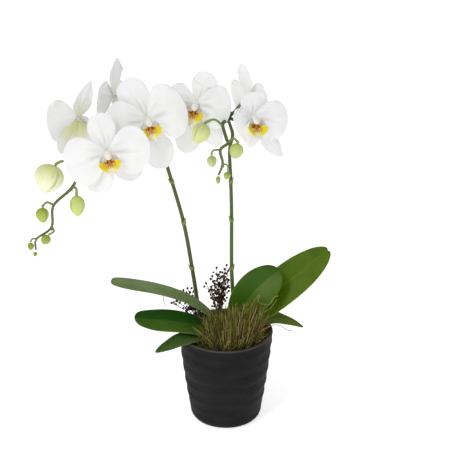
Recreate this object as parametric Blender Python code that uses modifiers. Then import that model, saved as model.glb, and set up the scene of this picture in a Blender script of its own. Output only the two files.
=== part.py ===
"""A potted white moth orchid: two flower spikes over six leaves, in a ribbed dark pot dressed with moss.

The frame: origin at the middle of the pot's base, +Z up, the front towards -Y.
Sizes below are in millimetres.
"""

import math
from dataclasses import dataclass

import bmesh
import bpy
from mathutils import Matrix, Vector

MM = 0.001
NAME = "potted_orchid"

# The pot, a hollow tapered cup with soft ripples round its wall.
POT_HEIGHT = 132.0
POT_RIM_RADIUS = 65.5
POT_FOOT_RADIUS = 43.6
POT_LOW_RADIUS = 50.6
POT_LOW_HEIGHT = 13.0
POT_WALL = 4.4
POT_FLOOR = 8.0
RIPPLES = 6
RIPPLE_DEPTH = 0.55
POT_STEPS = 32

# The potting bark that fills the pot, and the holes in it for the two spikes.
BARK_TOP = 117.0
BARK_BUMP = 3.0
BARK_GAP = 0.4
SPIKE_HOLE_RADIUS = 3.6
SPIKE_HOLE_DEPTH = 40.0

# The clump of moss and dry grass at the front of the pot.
MOSS_BOTTOM = 121.0
MOSS_BLADES = 56
MOSS_ARC_MIDDLE = -72.0
MOSS_ARC_REACH = 60.0
MOSS_RADIUS = 38.5
MOSS_HALF_DEPTH = 17.0

# Tepals, lips and leaves.
TEPAL_THICKNESS = 0.9
LIP_THICKNESS = 0.9
COLUMN_NOD = 0.036
LEAF_THICKNESS = 2.0
SEPAL_SETBACK = 2.3
TIP_WIDTH = 0.45
ROUND_END = 0.16

# Flower spikes.
STEM_RADIUS = 2.8
PEDICEL_RADIUS = 1.25
THICK_PEDICEL_RADIUS = 1.6
BUD_GAP = 0.8


@dataclass(frozen=True)
class Blade:
    """One tepal in its flower's frame: X to the viewer's right, Y up, Z towards the viewer."""

    angle: float  # degrees from X, anticlockwise
    length: float
    half_width: float
    lean: float = 0.0  # degrees forward of the flower's plane
    twist: float = 0.0  # degrees about its own length
    curl: float = 0.0  # how far the tip bends forward
    bulge: float = 3.0  # how far the middle stands forward of the edges
    peak: float = 0.6  # where along its length it is widest
    claw: float = 3.4  # half width where it starts
    widening: float = 1.0  # above 1 it stays narrow for longer


@dataclass(frozen=True)
class Flower:
    """A flower's middle, the way it faces, and its five tepals."""

    name: str
    middle: tuple
    azimuth: float  # 0 faces the front, 90 faces +X
    elevation: float
    roll: float
    dorsal: Blade
    right_petal: Blade
    left_petal: Blade
    right_sepal: Blade
    left_sepal: Blade
    lip_size: float = 1.0


@dataclass(frozen=True)
class Leaf:
    """A leaf along a bend drawn by four places, rolled about its own length."""

    name: str
    root: tuple
    first_pull: tuple
    second_pull: tuple
    tip: tuple
    half_width: float
    root_half_width: float
    root_roll: float
    tip_roll: float
    fold: float
    peak: float = 0.6
    tip_width: float = 0.35


def low_sepal(angle, length, half_width, lean):
    """A lateral sepal, narrow where it meets its partner."""
    return Blade(angle, length, half_width, lean=lean, bulge=1.5, claw=1.5, widening=1.5)


FLOWERS = (
    Flower(
        "flower_1", (-192.0, 4.0, 441.0), -150.0, 8.0, -4.0,
        dorsal=Blade(109.0, 53.0, 13.0, lean=-8.0, bulge=1.5, peak=0.36),
        right_petal=Blade(-5.0, 42.0, 32.0, lean=4.0, bulge=2.5),
        left_petal=Blade(242.0, 24.0, 11.0, bulge=2.0),
        right_sepal=low_sepal(-53.0, 50.0, 15.0, lean=-5.0),
        left_sepal=low_sepal(-118.0, 44.0, 15.0, lean=-13.0),
    ),
    Flower(
        "flower_2", (-147.0, 28.0, 462.0), -107.0, 6.0, -4.0,
        dorsal=Blade(92.0, 51.0, 16.5, lean=0.0, twist=-6.0, bulge=1.5),
        right_petal=Blade(8.0, 48.0, 25.0, lean=4.0, bulge=2.5),
        left_petal=Blade(204.0, 40.0, 22.0, lean=4.0, bulge=2.5),
        right_sepal=low_sepal(-66.0, 44.0, 15.0, lean=-5.0),
        left_sepal=low_sepal(-122.0, 44.0, 15.0, lean=-13.0),
    ),
    Flower(
        "flower_3", (-148.0, -62.0, 415.0), 6.0, 10.0, 10.0,
        dorsal=Blade(92.0, 50.0, 18.0, lean=-6.0, bulge=1.5),
        right_petal=Blade(-4.0, 54.0, 31.0, lean=2.0, peak=0.56),
        left_petal=Blade(187.0, 56.0, 32.0, lean=2.0),
        right_sepal=low_sepal(-47.0, 50.0, 17.0, lean=-8.0),
        left_sepal=low_sepal(-121.0, 54.0, 18.0, lean=-8.0),
    ),
    Flower(
        "flower_4", (-99.0, -24.0, 446.0), 8.0, 8.0, 12.0,
        dorsal=Blade(107.0, 56.5, 19.5, lean=-6.0, bulge=1.5),
        right_petal=Blade(10.0, 51.5, 37.0, lean=2.0, peak=0.52),
        left_petal=Blade(176.0, 54.0, 31.0, lean=2.0),
        right_sepal=low_sepal(-85.0, 65.5, 20.0, lean=-4.0),
        left_sepal=low_sepal(-140.0, 50.0, 17.0, lean=-14.0),
    ),
    Flower(
        "flower_5", (-38.0, 6.0, 457.5), -8.0, 8.0, -10.0,
        dorsal=Blade(78.0, 42.5, 16.5, lean=-4.0, bulge=1.5, curl=6.0),
        right_petal=Blade(3.0, 46.0, 29.0, lean=2.0),
        left_petal=Blade(184.0, 39.0, 24.5, lean=2.0),
        right_sepal=low_sepal(-52.0, 65.0, 14.0, lean=-13.0),
        left_sepal=low_sepal(-94.0, 66.0, 18.0, lean=-4.0),
    ),
    Flower(
        "flower_6", (34.0, -38.0, 453.0), 26.0, 12.0, -6.0,
        dorsal=Blade(87.0, 31.5, 18.0, lean=-2.0, bulge=1.5, curl=4.0),
        right_petal=Blade(-7.0, 46.0, 25.0, lean=12.0),
        left_petal=Blade(206.0, 31.0, 22.0, lean=14.0),
        right_sepal=low_sepal(-43.0, 76.0, 12.0, lean=-14.0),
        left_sepal=low_sepal(-90.0, 36.0, 12.0, lean=-5.0),
    ),
    Flower(
        "flower_7", (30.0, 22.0, 462.0), 124.0, 8.0, 6.0,
        dorsal=Blade(92.0, 48.0, 15.0, lean=-6.0, bulge=1.5),
        right_petal=Blade(-24.0, 48.0, 25.0, lean=4.0, bulge=2.5),
        left_petal=Blade(178.0, 40.0, 27.0, lean=4.0, bulge=2.5),
        right_sepal=low_sepal(-62.0, 42.0, 14.0, lean=-5.0),
        left_sepal=low_sepal(-120.0, 40.0, 14.0, lean=-13.0),
    ),
)

LEAVES = (
    Leaf(
        "leaf_left_upper",
        (-10.0, 2.0, 122.0), (-12.0, 0.0, 175.0), (-85.0, -2.0, 196.0), (-157.0, 0.0, 207.0),
        half_width=14.0, root_half_width=7.0, root_roll=4.0, tip_roll=8.0,
        fold=2.5, peak=0.74, tip_width=0.7,
    ),
    Leaf(
        "leaf_left_middle",
        (-17.0, -5.0, 122.0), (-22.0, -9.0, 147.0), (-80.0, -25.0, 157.0), (-123.0, -40.0, 170.0),
        half_width=20.5, root_half_width=11.0, root_roll=20.0, tip_roll=24.0,
        fold=3.5, peak=0.62, tip_width=0.6,
    ),
    Leaf(
        "leaf_left_lower",
        (-28.0, -15.0, 120.5), (-36.0, -30.0, 143.0), (-68.0, -50.0, 142.0), (-95.0, -60.0, 129.0),
        half_width=12.5, root_half_width=5.0, root_roll=10.0, tip_roll=16.0,
        fold=2.5, peak=0.6, tip_width=0.25,
    ),
    Leaf(
        "leaf_right_front",
        (11.0, 0.0, 123.0), (18.0, -1.0, 165.0), (38.0, 5.0, 194.0), (75.0, 16.0, 214.0),
        half_width=27.0, root_half_width=7.0, root_roll=62.0, tip_roll=42.0,
        fold=3.0, peak=0.62, tip_width=0.55,
    ),
    Leaf(
        "leaf_right_back",
        (18.0, 12.0, 122.0), (40.0, 14.0, 159.0), (93.0, 30.0, 197.0), (144.0, 45.0, 234.0),
        half_width=26.0, root_half_width=7.0, root_roll=52.0, tip_roll=44.0,
        fold=3.5, peak=0.66, tip_width=0.55,
    ),
    Leaf(
        "leaf_right_low",
        (33.0, 13.0, 121.0), (42.0, 16.0, 149.0), (78.0, 19.0, 145.0), (109.0, 20.0, 125.0),
        half_width=14.0, root_half_width=6.0, root_roll=18.0, tip_roll=16.0,
        fold=2.5, peak=0.45, tip_width=0.2,
    ),
)

# Each spike as places along its stem: (x, y, z, radius as a share of STEM_RADIUS).
LEFT_STEM = (
    (-31.0, 24.0, 100.0, 1.1),
    (-39.5, 24.0, 160.0, 1.05),
    (-45.6, 24.0, 207.0, 1.0),
    (-57.4, 22.4, 284.0, 0.95),
    (-76.6, 18.0, 362.0, 0.9),
    (-88.4, 16.0, 404.0, 0.85),
    (-108.0, 14.0, 428.0, 0.8),
    (-136.0, 6.0, 434.0, 0.75),
    (-160.0, -6.0, 414.0, 0.78),
    (-184.5, -14.5, 381.0, 0.76),
    (-201.5, -18.0, 350.5, 0.74),
    (-226.5, -20.0, 326.0, 0.66),
    (-230.5, -21.0, 296.0, 0.6),
    (-251.0, -24.0, 280.0, 0.5),
    (-252.5, -25.0, 265.0, 0.42),
)
RIGHT_STEM = (
    (12.0, 27.0, 100.0, 1.05),
    (10.6, 26.0, 160.0, 1.0),
    (8.0, 26.0, 214.0, 0.95),
    (7.8, 24.0, 296.0, 0.9),
    (6.5, 21.0, 350.0, 0.85),
    (5.0, 20.0, 389.0, 0.8),
    (9.0, 16.0, 412.0, 0.85),
    (4.0, 10.0, 434.0, 0.7),
    (7.0, 8.0, 446.0, 0.6),
)
# The heights of the rings round each rising stem, where a scale once grew.
NODE_HEIGHTS = (212.0, 288.0, 345.0)
NODE_REACH = 3.0
NODE_SWELL = 1.35

# The dried berry sprays: where each stands in the bark, and where its twigs end.
SPRAY_FORKS = 3
RIGHT_SPRAY_FOOT = (-9.0, 38.0, 124.0)
RIGHT_SPRAY_TIPS = (
    (1.0, 40.0, 212.0),
    (-8.0, 43.0, 200.0),
    (-19.0, 38.0, 196.0),
    (-28.0, 42.0, 183.0),
    (4.0, 38.0, 190.0),
)
LEFT_SPRAY_FOOT = (-40.0, 38.0, 124.0)
LEFT_SPRAY_TIPS = (
    (-77.0, 38.0, 154.0),
    (-66.0, 40.0, 168.0),
    (-56.0, 38.0, 178.0),
    (-47.0, 40.0, 164.0),
)

POT_LOOK = ((0.018, 0.019, 0.021), 0.42)
BARK_LOOK = ((0.085, 0.045, 0.025), 0.9)
MOSS_LOOK = ((0.16, 0.17, 0.05), 0.95)
LEAF_LOOK = ((0.045, 0.15, 0.015), 0.32)
STEM_LOOK = ((0.12, 0.19, 0.05), 0.5)
BUD_LOOK = ((0.50, 0.60, 0.20), 0.45)
TEPAL_LOOK = ((0.86, 0.86, 0.84), 0.5)
LIP_LOOK = ((0.85, 0.50, 0.06), 0.4)
COLUMN_LOOK = ((0.88, 0.80, 0.76), 0.45)
BERRY_LOOK = ((0.06, 0.032, 0.018), 0.8)


def in_metres(place):
    return Vector(place) * MM


def smooth_step(t):
    t = min(1.0, max(0.0, t))
    return t * t * (3.0 - 2.0 * t)


def clear_scene():
    for item in list(bpy.data.objects):
        bpy.data.objects.remove(item)
    for group in list(bpy.data.collections):
        bpy.data.collections.remove(group)


def new_collection(name, hidden=False):
    group = bpy.data.collections.new(name)
    bpy.context.scene.collection.children.link(group)
    group.hide_render = hidden
    return group


def new_material(name, look):
    """A plain Principled material: each node has its own."""
    colour, roughness = look
    material = bpy.data.materials.new(name)
    material.use_nodes = True
    shader = material.node_tree.nodes["Principled BSDF"]
    shader.inputs["Base Color"].default_value = (*colour, 1.0)
    shader.inputs["Roughness"].default_value = roughness
    shader.inputs["Metallic"].default_value = 0.0
    material.diffuse_color = (*colour, 1.0)
    return material


def object_of(mesh_or_bmesh, name, look, group):
    """An object in the group, shaded smooth, with its own material."""
    mesh = mesh_or_bmesh
    if isinstance(mesh_or_bmesh, bmesh.types.BMesh):
        mesh = bpy.data.meshes.new(name)
        mesh_or_bmesh.to_mesh(mesh)
        mesh_or_bmesh.free()
    mesh.materials.clear()
    mesh.materials.append(new_material(name, look))
    item = bpy.data.objects.new(name, mesh)
    group.objects.link(item)
    for polygon in mesh.polygons:
        polygon.use_smooth = True
    return item


def thicken(item, thickness):
    shell = item.modifiers.new("Thickness", "SOLIDIFY")
    shell.thickness = thickness * MM
    shell.offset = 0.0
    return shell


def evaluated_mesh(item):
    """A mesh of the item with its modifiers or its curve bevel applied, and its caps welded."""
    bpy.context.view_layer.update()
    graph = bpy.context.evaluated_depsgraph_get()
    mesh = bpy.data.meshes.new_from_object(item.evaluated_get(graph))
    shape = bmesh.new()
    shape.from_mesh(mesh)
    bmesh.ops.remove_doubles(shape, verts=shape.verts, dist=0.01 * MM)
    bmesh.ops.recalc_face_normals(shape, faces=shape.faces)
    shape.to_mesh(mesh)
    shape.free()
    return mesh


def grid(rows, columns):
    """A square grid over -1 to 1, with this many cells each way."""
    shape = bmesh.new()
    bmesh.ops.create_grid(shape, x_segments=rows, y_segments=columns, size=1.0)
    return shape


# ---------------------------------------------------------------- pot, bark and moss


def pot_outer_radius(height):
    """The pot's outer wall, from the foot's rounding to the rim, with its soft ripples."""
    if height < POT_LOW_HEIGHT:
        rise = height / POT_LOW_HEIGHT
        return POT_FOOT_RADIUS + (POT_LOW_RADIUS - POT_FOOT_RADIUS) * math.sqrt(rise * (2.0 - rise))
    share = (height - POT_LOW_HEIGHT) / (POT_HEIGHT - POT_LOW_HEIGHT)
    belly = 1.1 * math.sin(math.pi * share)
    fade = smooth_step(share * 5.0) * smooth_step((1.0 - share) * 8.0)
    ripple = RIPPLE_DEPTH * fade * math.sin(2.0 * math.pi * RIPPLES * share)
    return POT_LOW_RADIUS + (POT_RIM_RADIUS - POT_LOW_RADIUS) * share + belly + ripple


def pot_inner_radius(height):
    share = max(0.0, height - POT_FLOOR) / (POT_HEIGHT - POT_FLOOR)
    return 43.0 + (POT_RIM_RADIUS - POT_WALL - 43.0) * share


def pot_profile():
    """Places (radius, height) from the inner floor's middle, over the rim and down to the base's middle."""
    places = [(0.0, POT_FLOOR), (38.0, POT_FLOOR), (43.0, POT_FLOOR + 6.0)]
    places += [(pot_inner_radius(height), height) for height in (60.0, 100.0, POT_HEIGHT - 2.0)]
    middle = POT_RIM_RADIUS - 0.5 * POT_WALL
    places += [(middle - 1.2, POT_HEIGHT), (middle + 1.0, POT_HEIGHT)]
    upper = 16
    for i in range(upper + 1):
        height = POT_HEIGHT - 1.2 + (POT_LOW_HEIGHT - POT_HEIGHT + 1.2) * i / upper
        places.append((pot_outer_radius(height), height))
    places += [(pot_outer_radius(height), height) for height in (8.0, 4.0, 1.2)]
    places += [(POT_FOOT_RADIUS, 0.0), (0.0, 0.0)]
    return places


def turned(name, profile, steps, look, group):
    """The profile turned round the Z axis."""
    mesh = bpy.data.meshes.new(name)
    shape = bmesh.new()
    last = None
    for radius, height in profile:
        vertex = shape.verts.new((radius * MM, 0.0, height * MM))
        if last:
            shape.edges.new((last, vertex))
        last = vertex
    shape.to_mesh(mesh)
    shape.free()
    item = object_of(mesh, name, look, group)
    turn = item.modifiers.new("Turn", "SCREW")
    turn.steps = steps
    turn.render_steps = steps
    turn.use_merge_vertices = True
    turn.merge_threshold = 0.00001
    turn.use_smooth_shade = True
    return item


def bark_bump(x, y):
    """The height of the bark's chunky surface at a place, level round the middle where the leaves stand."""
    lump = math.sin(0.55 * x + 1.7 * math.sin(0.31 * y)) * math.cos(0.47 * y + 1.3 * math.sin(0.37 * x))
    return BARK_BUMP * lump * smooth_step((math.hypot(x, y) - 34.0) / 12.0)


def add_bark(group, helpers):
    """The bark: a tapered plug with a bumpy top, and a hole for each spike."""
    top_radius = pot_inner_radius(BARK_TOP) - BARK_GAP - 0.8
    rings = (0.0, 9.0, 18.0, 27.0, 36.0, 44.0, 51.0, top_radius)
    profile = [(radius, BARK_TOP) for radius in rings]
    profile += [(pot_inner_radius(60.0) - BARK_GAP - 0.6, 60.0)]
    profile += [(42.0 - BARK_GAP, POT_FLOOR + 7.0), (37.0, POT_FLOOR + BARK_GAP), (0.0, POT_FLOOR + BARK_GAP)]
    plug = turned("bark_plug", profile, 28, BARK_LOOK, helpers)
    mesh = evaluated_mesh(plug)
    bpy.data.objects.remove(plug)
    for vertex in mesh.vertices:
        if vertex.co.z > (BARK_TOP - 1.0) * MM:
            radius = math.hypot(vertex.co.x, vertex.co.y) / MM
            edge = 1.0 if radius < top_radius - 1.0 else 0.3
            vertex.co.z += edge * bark_bump(vertex.co.x / MM, vertex.co.y / MM) * MM
    bark = object_of(mesh, "potting_bark", BARK_LOOK, group)
    for stem in (LEFT_STEM, RIGHT_STEM):
        foot = Vector(stem[0][:3])
        rise = (Vector(stem[1][:3]) - foot).normalized()
        hole = bmesh.new()
        radius = SPIKE_HOLE_RADIUS * MM
        bmesh.ops.create_cone(
            hole, cap_ends=True, segments=10, radius1=radius, radius2=radius, depth=SPIKE_HOLE_DEPTH * MM
        )
        cutter = object_of(hole, f"hole_{len(helpers.objects)}", BARK_LOOK, helpers)
        turn = rise.to_track_quat("Z", "Y").to_matrix().to_4x4()
        cutter.matrix_world = Matrix.Translation(in_metres(foot + rise * 18.5)) @ turn
        cutter.display_type = "WIRE"
        cutter.hide_render = True
        cut = bark.modifiers.new("Hole", "BOOLEAN")
        cut.operation = "DIFFERENCE"
        cut.solver = "EXACT"
        cut.object = cutter


def moss_blade(shape, foot, tip, radius):
    """One tapered three-sided blade of dry grass, from its foot to its tip."""
    along = in_metres(tip) - in_metres(foot)
    turn = along.to_track_quat("Z", "Y").to_matrix().to_4x4()
    matrix = Matrix.Translation((in_metres(foot) + in_metres(tip)) / 2.0) @ turn
    bmesh.ops.create_cone(
        shape, cap_ends=True, segments=3, radius1=radius * MM, radius2=0.25 * radius * MM,
        depth=along.length, matrix=matrix,
    )


def moss_place(along, out):
    """A place in the crescent of moss: along its arc and out from its middle line, each from -1 to 1."""
    angle = math.radians(MOSS_ARC_MIDDLE + MOSS_ARC_REACH * along)
    radius = MOSS_RADIUS + MOSS_HALF_DEPTH * out
    return radius * math.cos(angle), radius * math.sin(angle)


def add_moss(group, helpers):
    """The crescent at the front: a low mound with upright blades standing out of it."""
    mound = bmesh.new()
    bmesh.ops.create_uvsphere(mound, u_segments=16, v_segments=6, radius=1.0)
    for vertex in mound.verts:
        x, y = moss_place(vertex.co.x, vertex.co.y)
        vertex.co = in_metres((x, y, MOSS_BOTTOM + 11.0 * (1.0 + vertex.co.z)))
    moss = object_of(mound, "moss_dressing", MOSS_LOOK, group)
    blades = bpy.data.collections.new("moss_blades")
    helpers.children.link(blades)
    for i in range(MOSS_BLADES):
        share = math.sqrt((i + 0.5) / MOSS_BLADES)
        turn = math.radians(137.508) * i
        x, y = moss_place(0.93 * share * math.cos(turn), 0.85 * share * math.sin(turn))
        height = 36.0 + 20.0 * (1.0 - share**3) + 6.0 * math.sin(2.3 * i)
        lean_x = 0.16 * (x - 5.0) + 4.5 * math.sin(1.9 * i)
        lean_y = 0.10 * (y + 34.0) - 3.0 + 2.2 * math.cos(2.7 * i)
        foot = Vector((x, y, MOSS_BOTTOM + 9.0))
        shape = bmesh.new()
        moss_blade(shape, foot, foot + Vector((lean_x, lean_y, height)), 3.0 + 0.5 * math.sin(3.7 * i))
        blade = object_of(shape, f"moss_blade_{i}", MOSS_LOOK, blades)
        blade.display_type = "WIRE"
        blade.hide_render = True
    join = moss.modifiers.new("Blades", "BOOLEAN")
    join.operation = "UNION"
    join.solver = "EXACT"
    join.operand_type = "COLLECTION"
    join.collection = blades
    join.use_self = True


# ---------------------------------------------------------------- leaves


def bend(leaf, t):
    """The place and the heading at share t of the way along a leaf."""
    a, b, c, d = (Vector(place) for place in (leaf.root, leaf.first_pull, leaf.second_pull, leaf.tip))
    r = 1.0 - t
    place = a * r**3 + b * (3.0 * r * r * t) + c * (3.0 * r * t * t) + d * t**3
    heading = (b - a) * (r * r) + (c - b) * (2.0 * r * t) + (d - c) * (t * t)
    return place, heading.normalized()


def outline(s, peak, start, half_width, tip_width, widening=1.0):
    """Half the width of a tepal or leaf at share s of its length."""
    if s < peak:
        return start + (half_width - start) * math.sin(0.5 * math.pi * s / peak) ** widening
    return half_width * (tip_width + (1.0 - tip_width) * math.cos(0.5 * math.pi * (s - peak) / (1.0 - peak)))


def leaf_place(leaf, s, u):
    """The place at share s along the leaf and u across it, from -1 to 1."""
    along = s - 0.10 * u * u * s**4
    place, heading = bend(leaf, along)
    level = Vector((0.0, 0.0, 1.0)).cross(heading).normalized()
    if level.y < 0.0:
        level = -level
    roll = math.radians(leaf.root_roll + (leaf.tip_roll - leaf.root_roll) * s)
    up = Vector((-heading.x * heading.z, -heading.y * heading.z, 1.0 - heading.z**2)).normalized()
    across = level * math.cos(roll) + up * math.sin(roll)
    normal = up * math.cos(roll) - level * math.sin(roll)
    half = outline(s, leaf.peak, leaf.root_half_width, leaf.half_width, leaf.tip_width)
    rise = leaf.fold * abs(u) * (1.0 - 0.5 * abs(u)) * 1.6 * math.sin(math.pi * min(0.95, s + 0.1))
    return place + across * (half * u) + normal * rise


def add_leaf(leaf, group):
    shape = grid(9, 4)
    for vertex in shape.verts:
        s = 0.5 * (vertex.co.x + 1.0)
        vertex.co = leaf_place(leaf, s, vertex.co.y) * MM
    item = object_of(shape, leaf.name, LEAF_LOOK, group)
    thicken(item, LEAF_THICKNESS)


# ---------------------------------------------------------------- flowers


def flower_matrix(flower):
    """The flower's frame: X to its viewer's right, Y up its face, Z the way it faces."""
    azimuth = math.radians(flower.azimuth)
    rise = math.radians(flower.elevation)
    facing = Vector((math.sin(azimuth) * math.cos(rise), -math.cos(azimuth) * math.cos(rise), math.sin(rise)))
    right = Vector((0.0, 0.0, 1.0)).cross(facing).normalized()
    up = facing.cross(right)
    turn = Matrix((right, up, facing)).transposed().to_4x4()
    roll = Matrix.Rotation(math.radians(flower.roll), 4, "Z")
    return Matrix.Translation(in_metres(flower.middle)) @ turn @ roll


def flat_across(blade, side):
    """The direction across a tepal, in its flower's plane."""
    angle = math.radians(blade.angle)
    return side * Vector((-math.sin(angle), math.cos(angle), 0.0))


def blade_place(blade, base, s, u, side=1.0, seat=None):
    """The place at share s along a tepal and u across it.

    Side is -1 for a tepal on its flower's left, so that u runs one way round the flower.
    Seat is the direction across the flower's middle, for two tepals that meet there.
    """
    angle = math.radians(blade.angle)
    lean = math.radians(blade.lean)
    twist = math.radians(blade.twist)
    axis = Vector((math.cos(angle) * math.cos(lean), math.sin(angle) * math.cos(lean), math.sin(lean)))
    flat = flat_across(blade, side)
    across = flat * math.cos(twist) + axis.cross(flat) * math.sin(twist)
    if seat:
        across = seat.lerp(across, smooth_step(s / 0.35)).normalized()
    normal = side * axis.cross(across).normalized()
    half = outline(s, blade.peak, blade.claw, blade.half_width, TIP_WIDTH, blade.widening)
    along = blade.length * (s - ROUND_END * u * u * s**3)
    height = blade.bulge * (1.0 - u * u) * math.sin(math.pi * s) + blade.curl * s * s
    return Vector(base) + axis * along + across * (half * u) + normal * height


def add_pair(name, left, right, base, flower, group):
    """Two tepals that meet at the flower's middle, as one body."""
    seat = (flat_across(right, 1.0) + flat_across(left, -1.0)).normalized()
    shape = grid(10, 4)
    for vertex in shape.verts:
        share, u = vertex.co.x, vertex.co.y
        if share < 0.0:
            place = blade_place(left, base, -share, u, side=-1.0, seat=seat)
        else:
            place = blade_place(right, base, share, u, side=1.0, seat=seat)
        vertex.co = place * MM
    item = object_of(shape, name, TEPAL_LOOK, group)
    item.matrix_world = flower_matrix(flower)
    thicken(item, TEPAL_THICKNESS)


def add_dorsal(flower, group):
    """The upper sepal, which starts behind the middle of the petals."""
    shape = grid(5, 4)
    for vertex in shape.verts:
        s, u = 0.5 * (vertex.co.x + 1.0), vertex.co.y
        vertex.co = blade_place(flower.dorsal, (0.0, 1.2, -SEPAL_SETBACK), s, u) * MM
    item = object_of(shape, f"{flower.name}_dorsal_sepal", TEPAL_LOOK, group)
    item.matrix_world = flower_matrix(flower)
    thicken(item, TEPAL_THICKNESS)


def hump(s, centre, reach):
    """1 at the centre, falling smoothly to 0 at this reach either side."""
    return smooth_step(1.0 - abs(s - centre) / reach)


def lip_place(s, u, size):
    """The lip: it runs forward and bends down, with a lobe standing up each side and an arrow-shaped end."""
    start, bend_by, length = math.radians(35.0), math.radians(40.0), 27.0
    heading = start + bend_by * s
    y = -5.2 - length * (math.cos(start) - math.cos(heading)) / bend_by
    z = 2.2 + length * (math.sin(heading) - math.sin(start)) / bend_by
    half = 1.8 + 10.0 * hump(s, 0.26, 0.26) + 9.0 * hump(s, 0.68, 0.24)
    curl = math.radians(6.0 + 78.0 * hump(s, 0.2, 0.3))
    sideways = half * math.sin(curl * u) / curl
    raised = half * (1.0 - math.cos(curl * u)) / curl
    return Vector((sideways, y + raised * math.cos(heading), z + raised * math.sin(heading))) * size


def add_lip(flower, group):
    shape = grid(7, 4)
    for vertex in shape.verts:
        vertex.co = lip_place(0.5 * (vertex.co.x + 1.0), vertex.co.y, flower.lip_size) * MM
    item = object_of(shape, f"{flower.name}_lip", LIP_LOOK, group)
    item.matrix_world = flower_matrix(flower)
    thicken(item, LIP_THICKNESS)


def add_column(flower, group):
    """The column: a short rounded post over the lip, nodding a little."""
    shape = bmesh.new()
    bmesh.ops.create_uvsphere(shape, u_segments=8, v_segments=6, radius=1.0)
    for vertex in shape.verts:
        x, y, z = vertex.co
        swell = 1.0 + 0.15 * z
        forward = 7.4 + 6.2 * z
        rise = 1.0 + 2.7 * y * swell - COLUMN_NOD * forward**2
        vertex.co = Vector((2.8 * x * swell, rise, forward)) * flower.lip_size * MM
    item = object_of(shape, f"{flower.name}_column", COLUMN_LOOK, group)
    item.matrix_world = flower_matrix(flower)


def add_flower(flower, group):
    add_pair(f"{flower.name}_petals", flower.left_petal, flower.right_petal, (0.0, 0.0, 0.0), flower, group)
    setback = (0.0, -3.2, -SEPAL_SETBACK)
    add_pair(f"{flower.name}_lateral_sepals", flower.left_sepal, flower.right_sepal, setback, flower, group)
    add_dorsal(flower, group)
    add_lip(flower, group)
    add_column(flower, group)


# ---------------------------------------------------------------- spikes and buds


def tube(name, places, radius, sides, group):
    """A round stem through the places, each (x, y, z, share of the radius), with flat ends."""
    curve = bpy.data.curves.new(name, "CURVE")
    curve.dimensions = "3D"
    curve.bevel_depth = radius * MM
    curve.bevel_resolution = sides
    curve.use_fill_caps = True
    curve.resolution_u = 1
    curve.render_resolution_u = 0
    spline = curve.splines.new("POLY")
    spline.points.add(len(places) - 1)
    for point, (x, y, z, share) in zip(spline.points, places):
        point.co = (x * MM, y * MM, z * MM, 1.0)
        point.radius = share
    item = bpy.data.objects.new(name, curve)
    group.objects.link(item)
    return item


def rounded(places, steps):
    """The places with their corners rounded: a Catmull-Rom curve through them."""
    ends = [places[0], *places, places[-1]]
    found = []
    for before, start, end, after in zip(ends, ends[1:], ends[2:], ends[3:]):
        for i in range(steps):
            t = i / steps
            row = []
            for a, b, c, d in zip(before, start, end, after):
                squared = (2.0 * a - 5.0 * b + 4.0 * c - d) * t**2
                cubed = (3.0 * b - a - 3.0 * c + d) * t**3
                row.append(0.5 * (2.0 * b + (c - a) * t + squared + cubed))
            found.append(tuple(row))
    found.append(tuple(places[-1]))
    return found


def with_rings(places):
    """The stem's places with a short swelling put in at each node's height, on its rising part."""
    found = [places[0]]
    for start, end in zip(places, places[1:]):
        rise = end[2] - start[2]
        for height in NODE_HEIGHTS:
            if start[2] + NODE_REACH < height < end[2] - NODE_REACH and rise > 4.0 * NODE_REACH:
                for offset, swell in ((-NODE_REACH, 1.0), (0.0, NODE_SWELL), (NODE_REACH, 1.0)):
                    t = (height + offset - start[2]) / rise
                    x, y, z, share = (a + (b - a) * t for a, b in zip(start, end))
                    found.append((x, y, z, share * swell))
        found.append(end)
    return found


def behind(flower, distance):
    """The place this far behind a flower's middle."""
    return flower_matrix(flower) @ in_metres((0.0, -1.0, -distance)) / MM


def pedicel(flower, start, by_way, straight=10.0):
    """Places from the stem to just behind the flower, coming in square to its back."""
    last = behind(flower, 3.6)
    near = behind(flower, straight)
    return [(*start, 1.0), (*by_way, 1.0), (*near, 0.95), (*last, 1.05)]


def joined_tubes(name, main, others, group, helpers):
    """The main stem and its branches made one body."""
    trunk = tube(f"{name}_trunk", main, STEM_RADIUS, 2, helpers)
    mesh = evaluated_mesh(trunk)
    bpy.data.objects.remove(trunk)
    stem = object_of(mesh, name, STEM_LOOK, group)
    branches = bpy.data.collections.new(f"{name}_branches")
    helpers.children.link(branches)
    for i, (places, radius) in enumerate(others):
        twig = tube(f"{name}_line_{i}", rounded(places, 2), radius, 1, helpers)
        branch = object_of(evaluated_mesh(twig), f"{name}_branch_{i}", STEM_LOOK, branches)
        branch.display_type = "WIRE"
        branch.hide_render = True
        bpy.data.objects.remove(twig)
    join = stem.modifiers.new("Branches", "BOOLEAN")
    join.operation = "UNION"
    join.solver = "EXACT"
    join.operand_type = "COLLECTION"
    join.collection = branches
    join.use_self = True


@dataclass(frozen=True)
class Bud:
    """A bud hanging from the end of its stalk: where it starts, the way it points, and its size."""

    name: str
    top: tuple
    points: tuple
    length: float
    width: float


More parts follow.
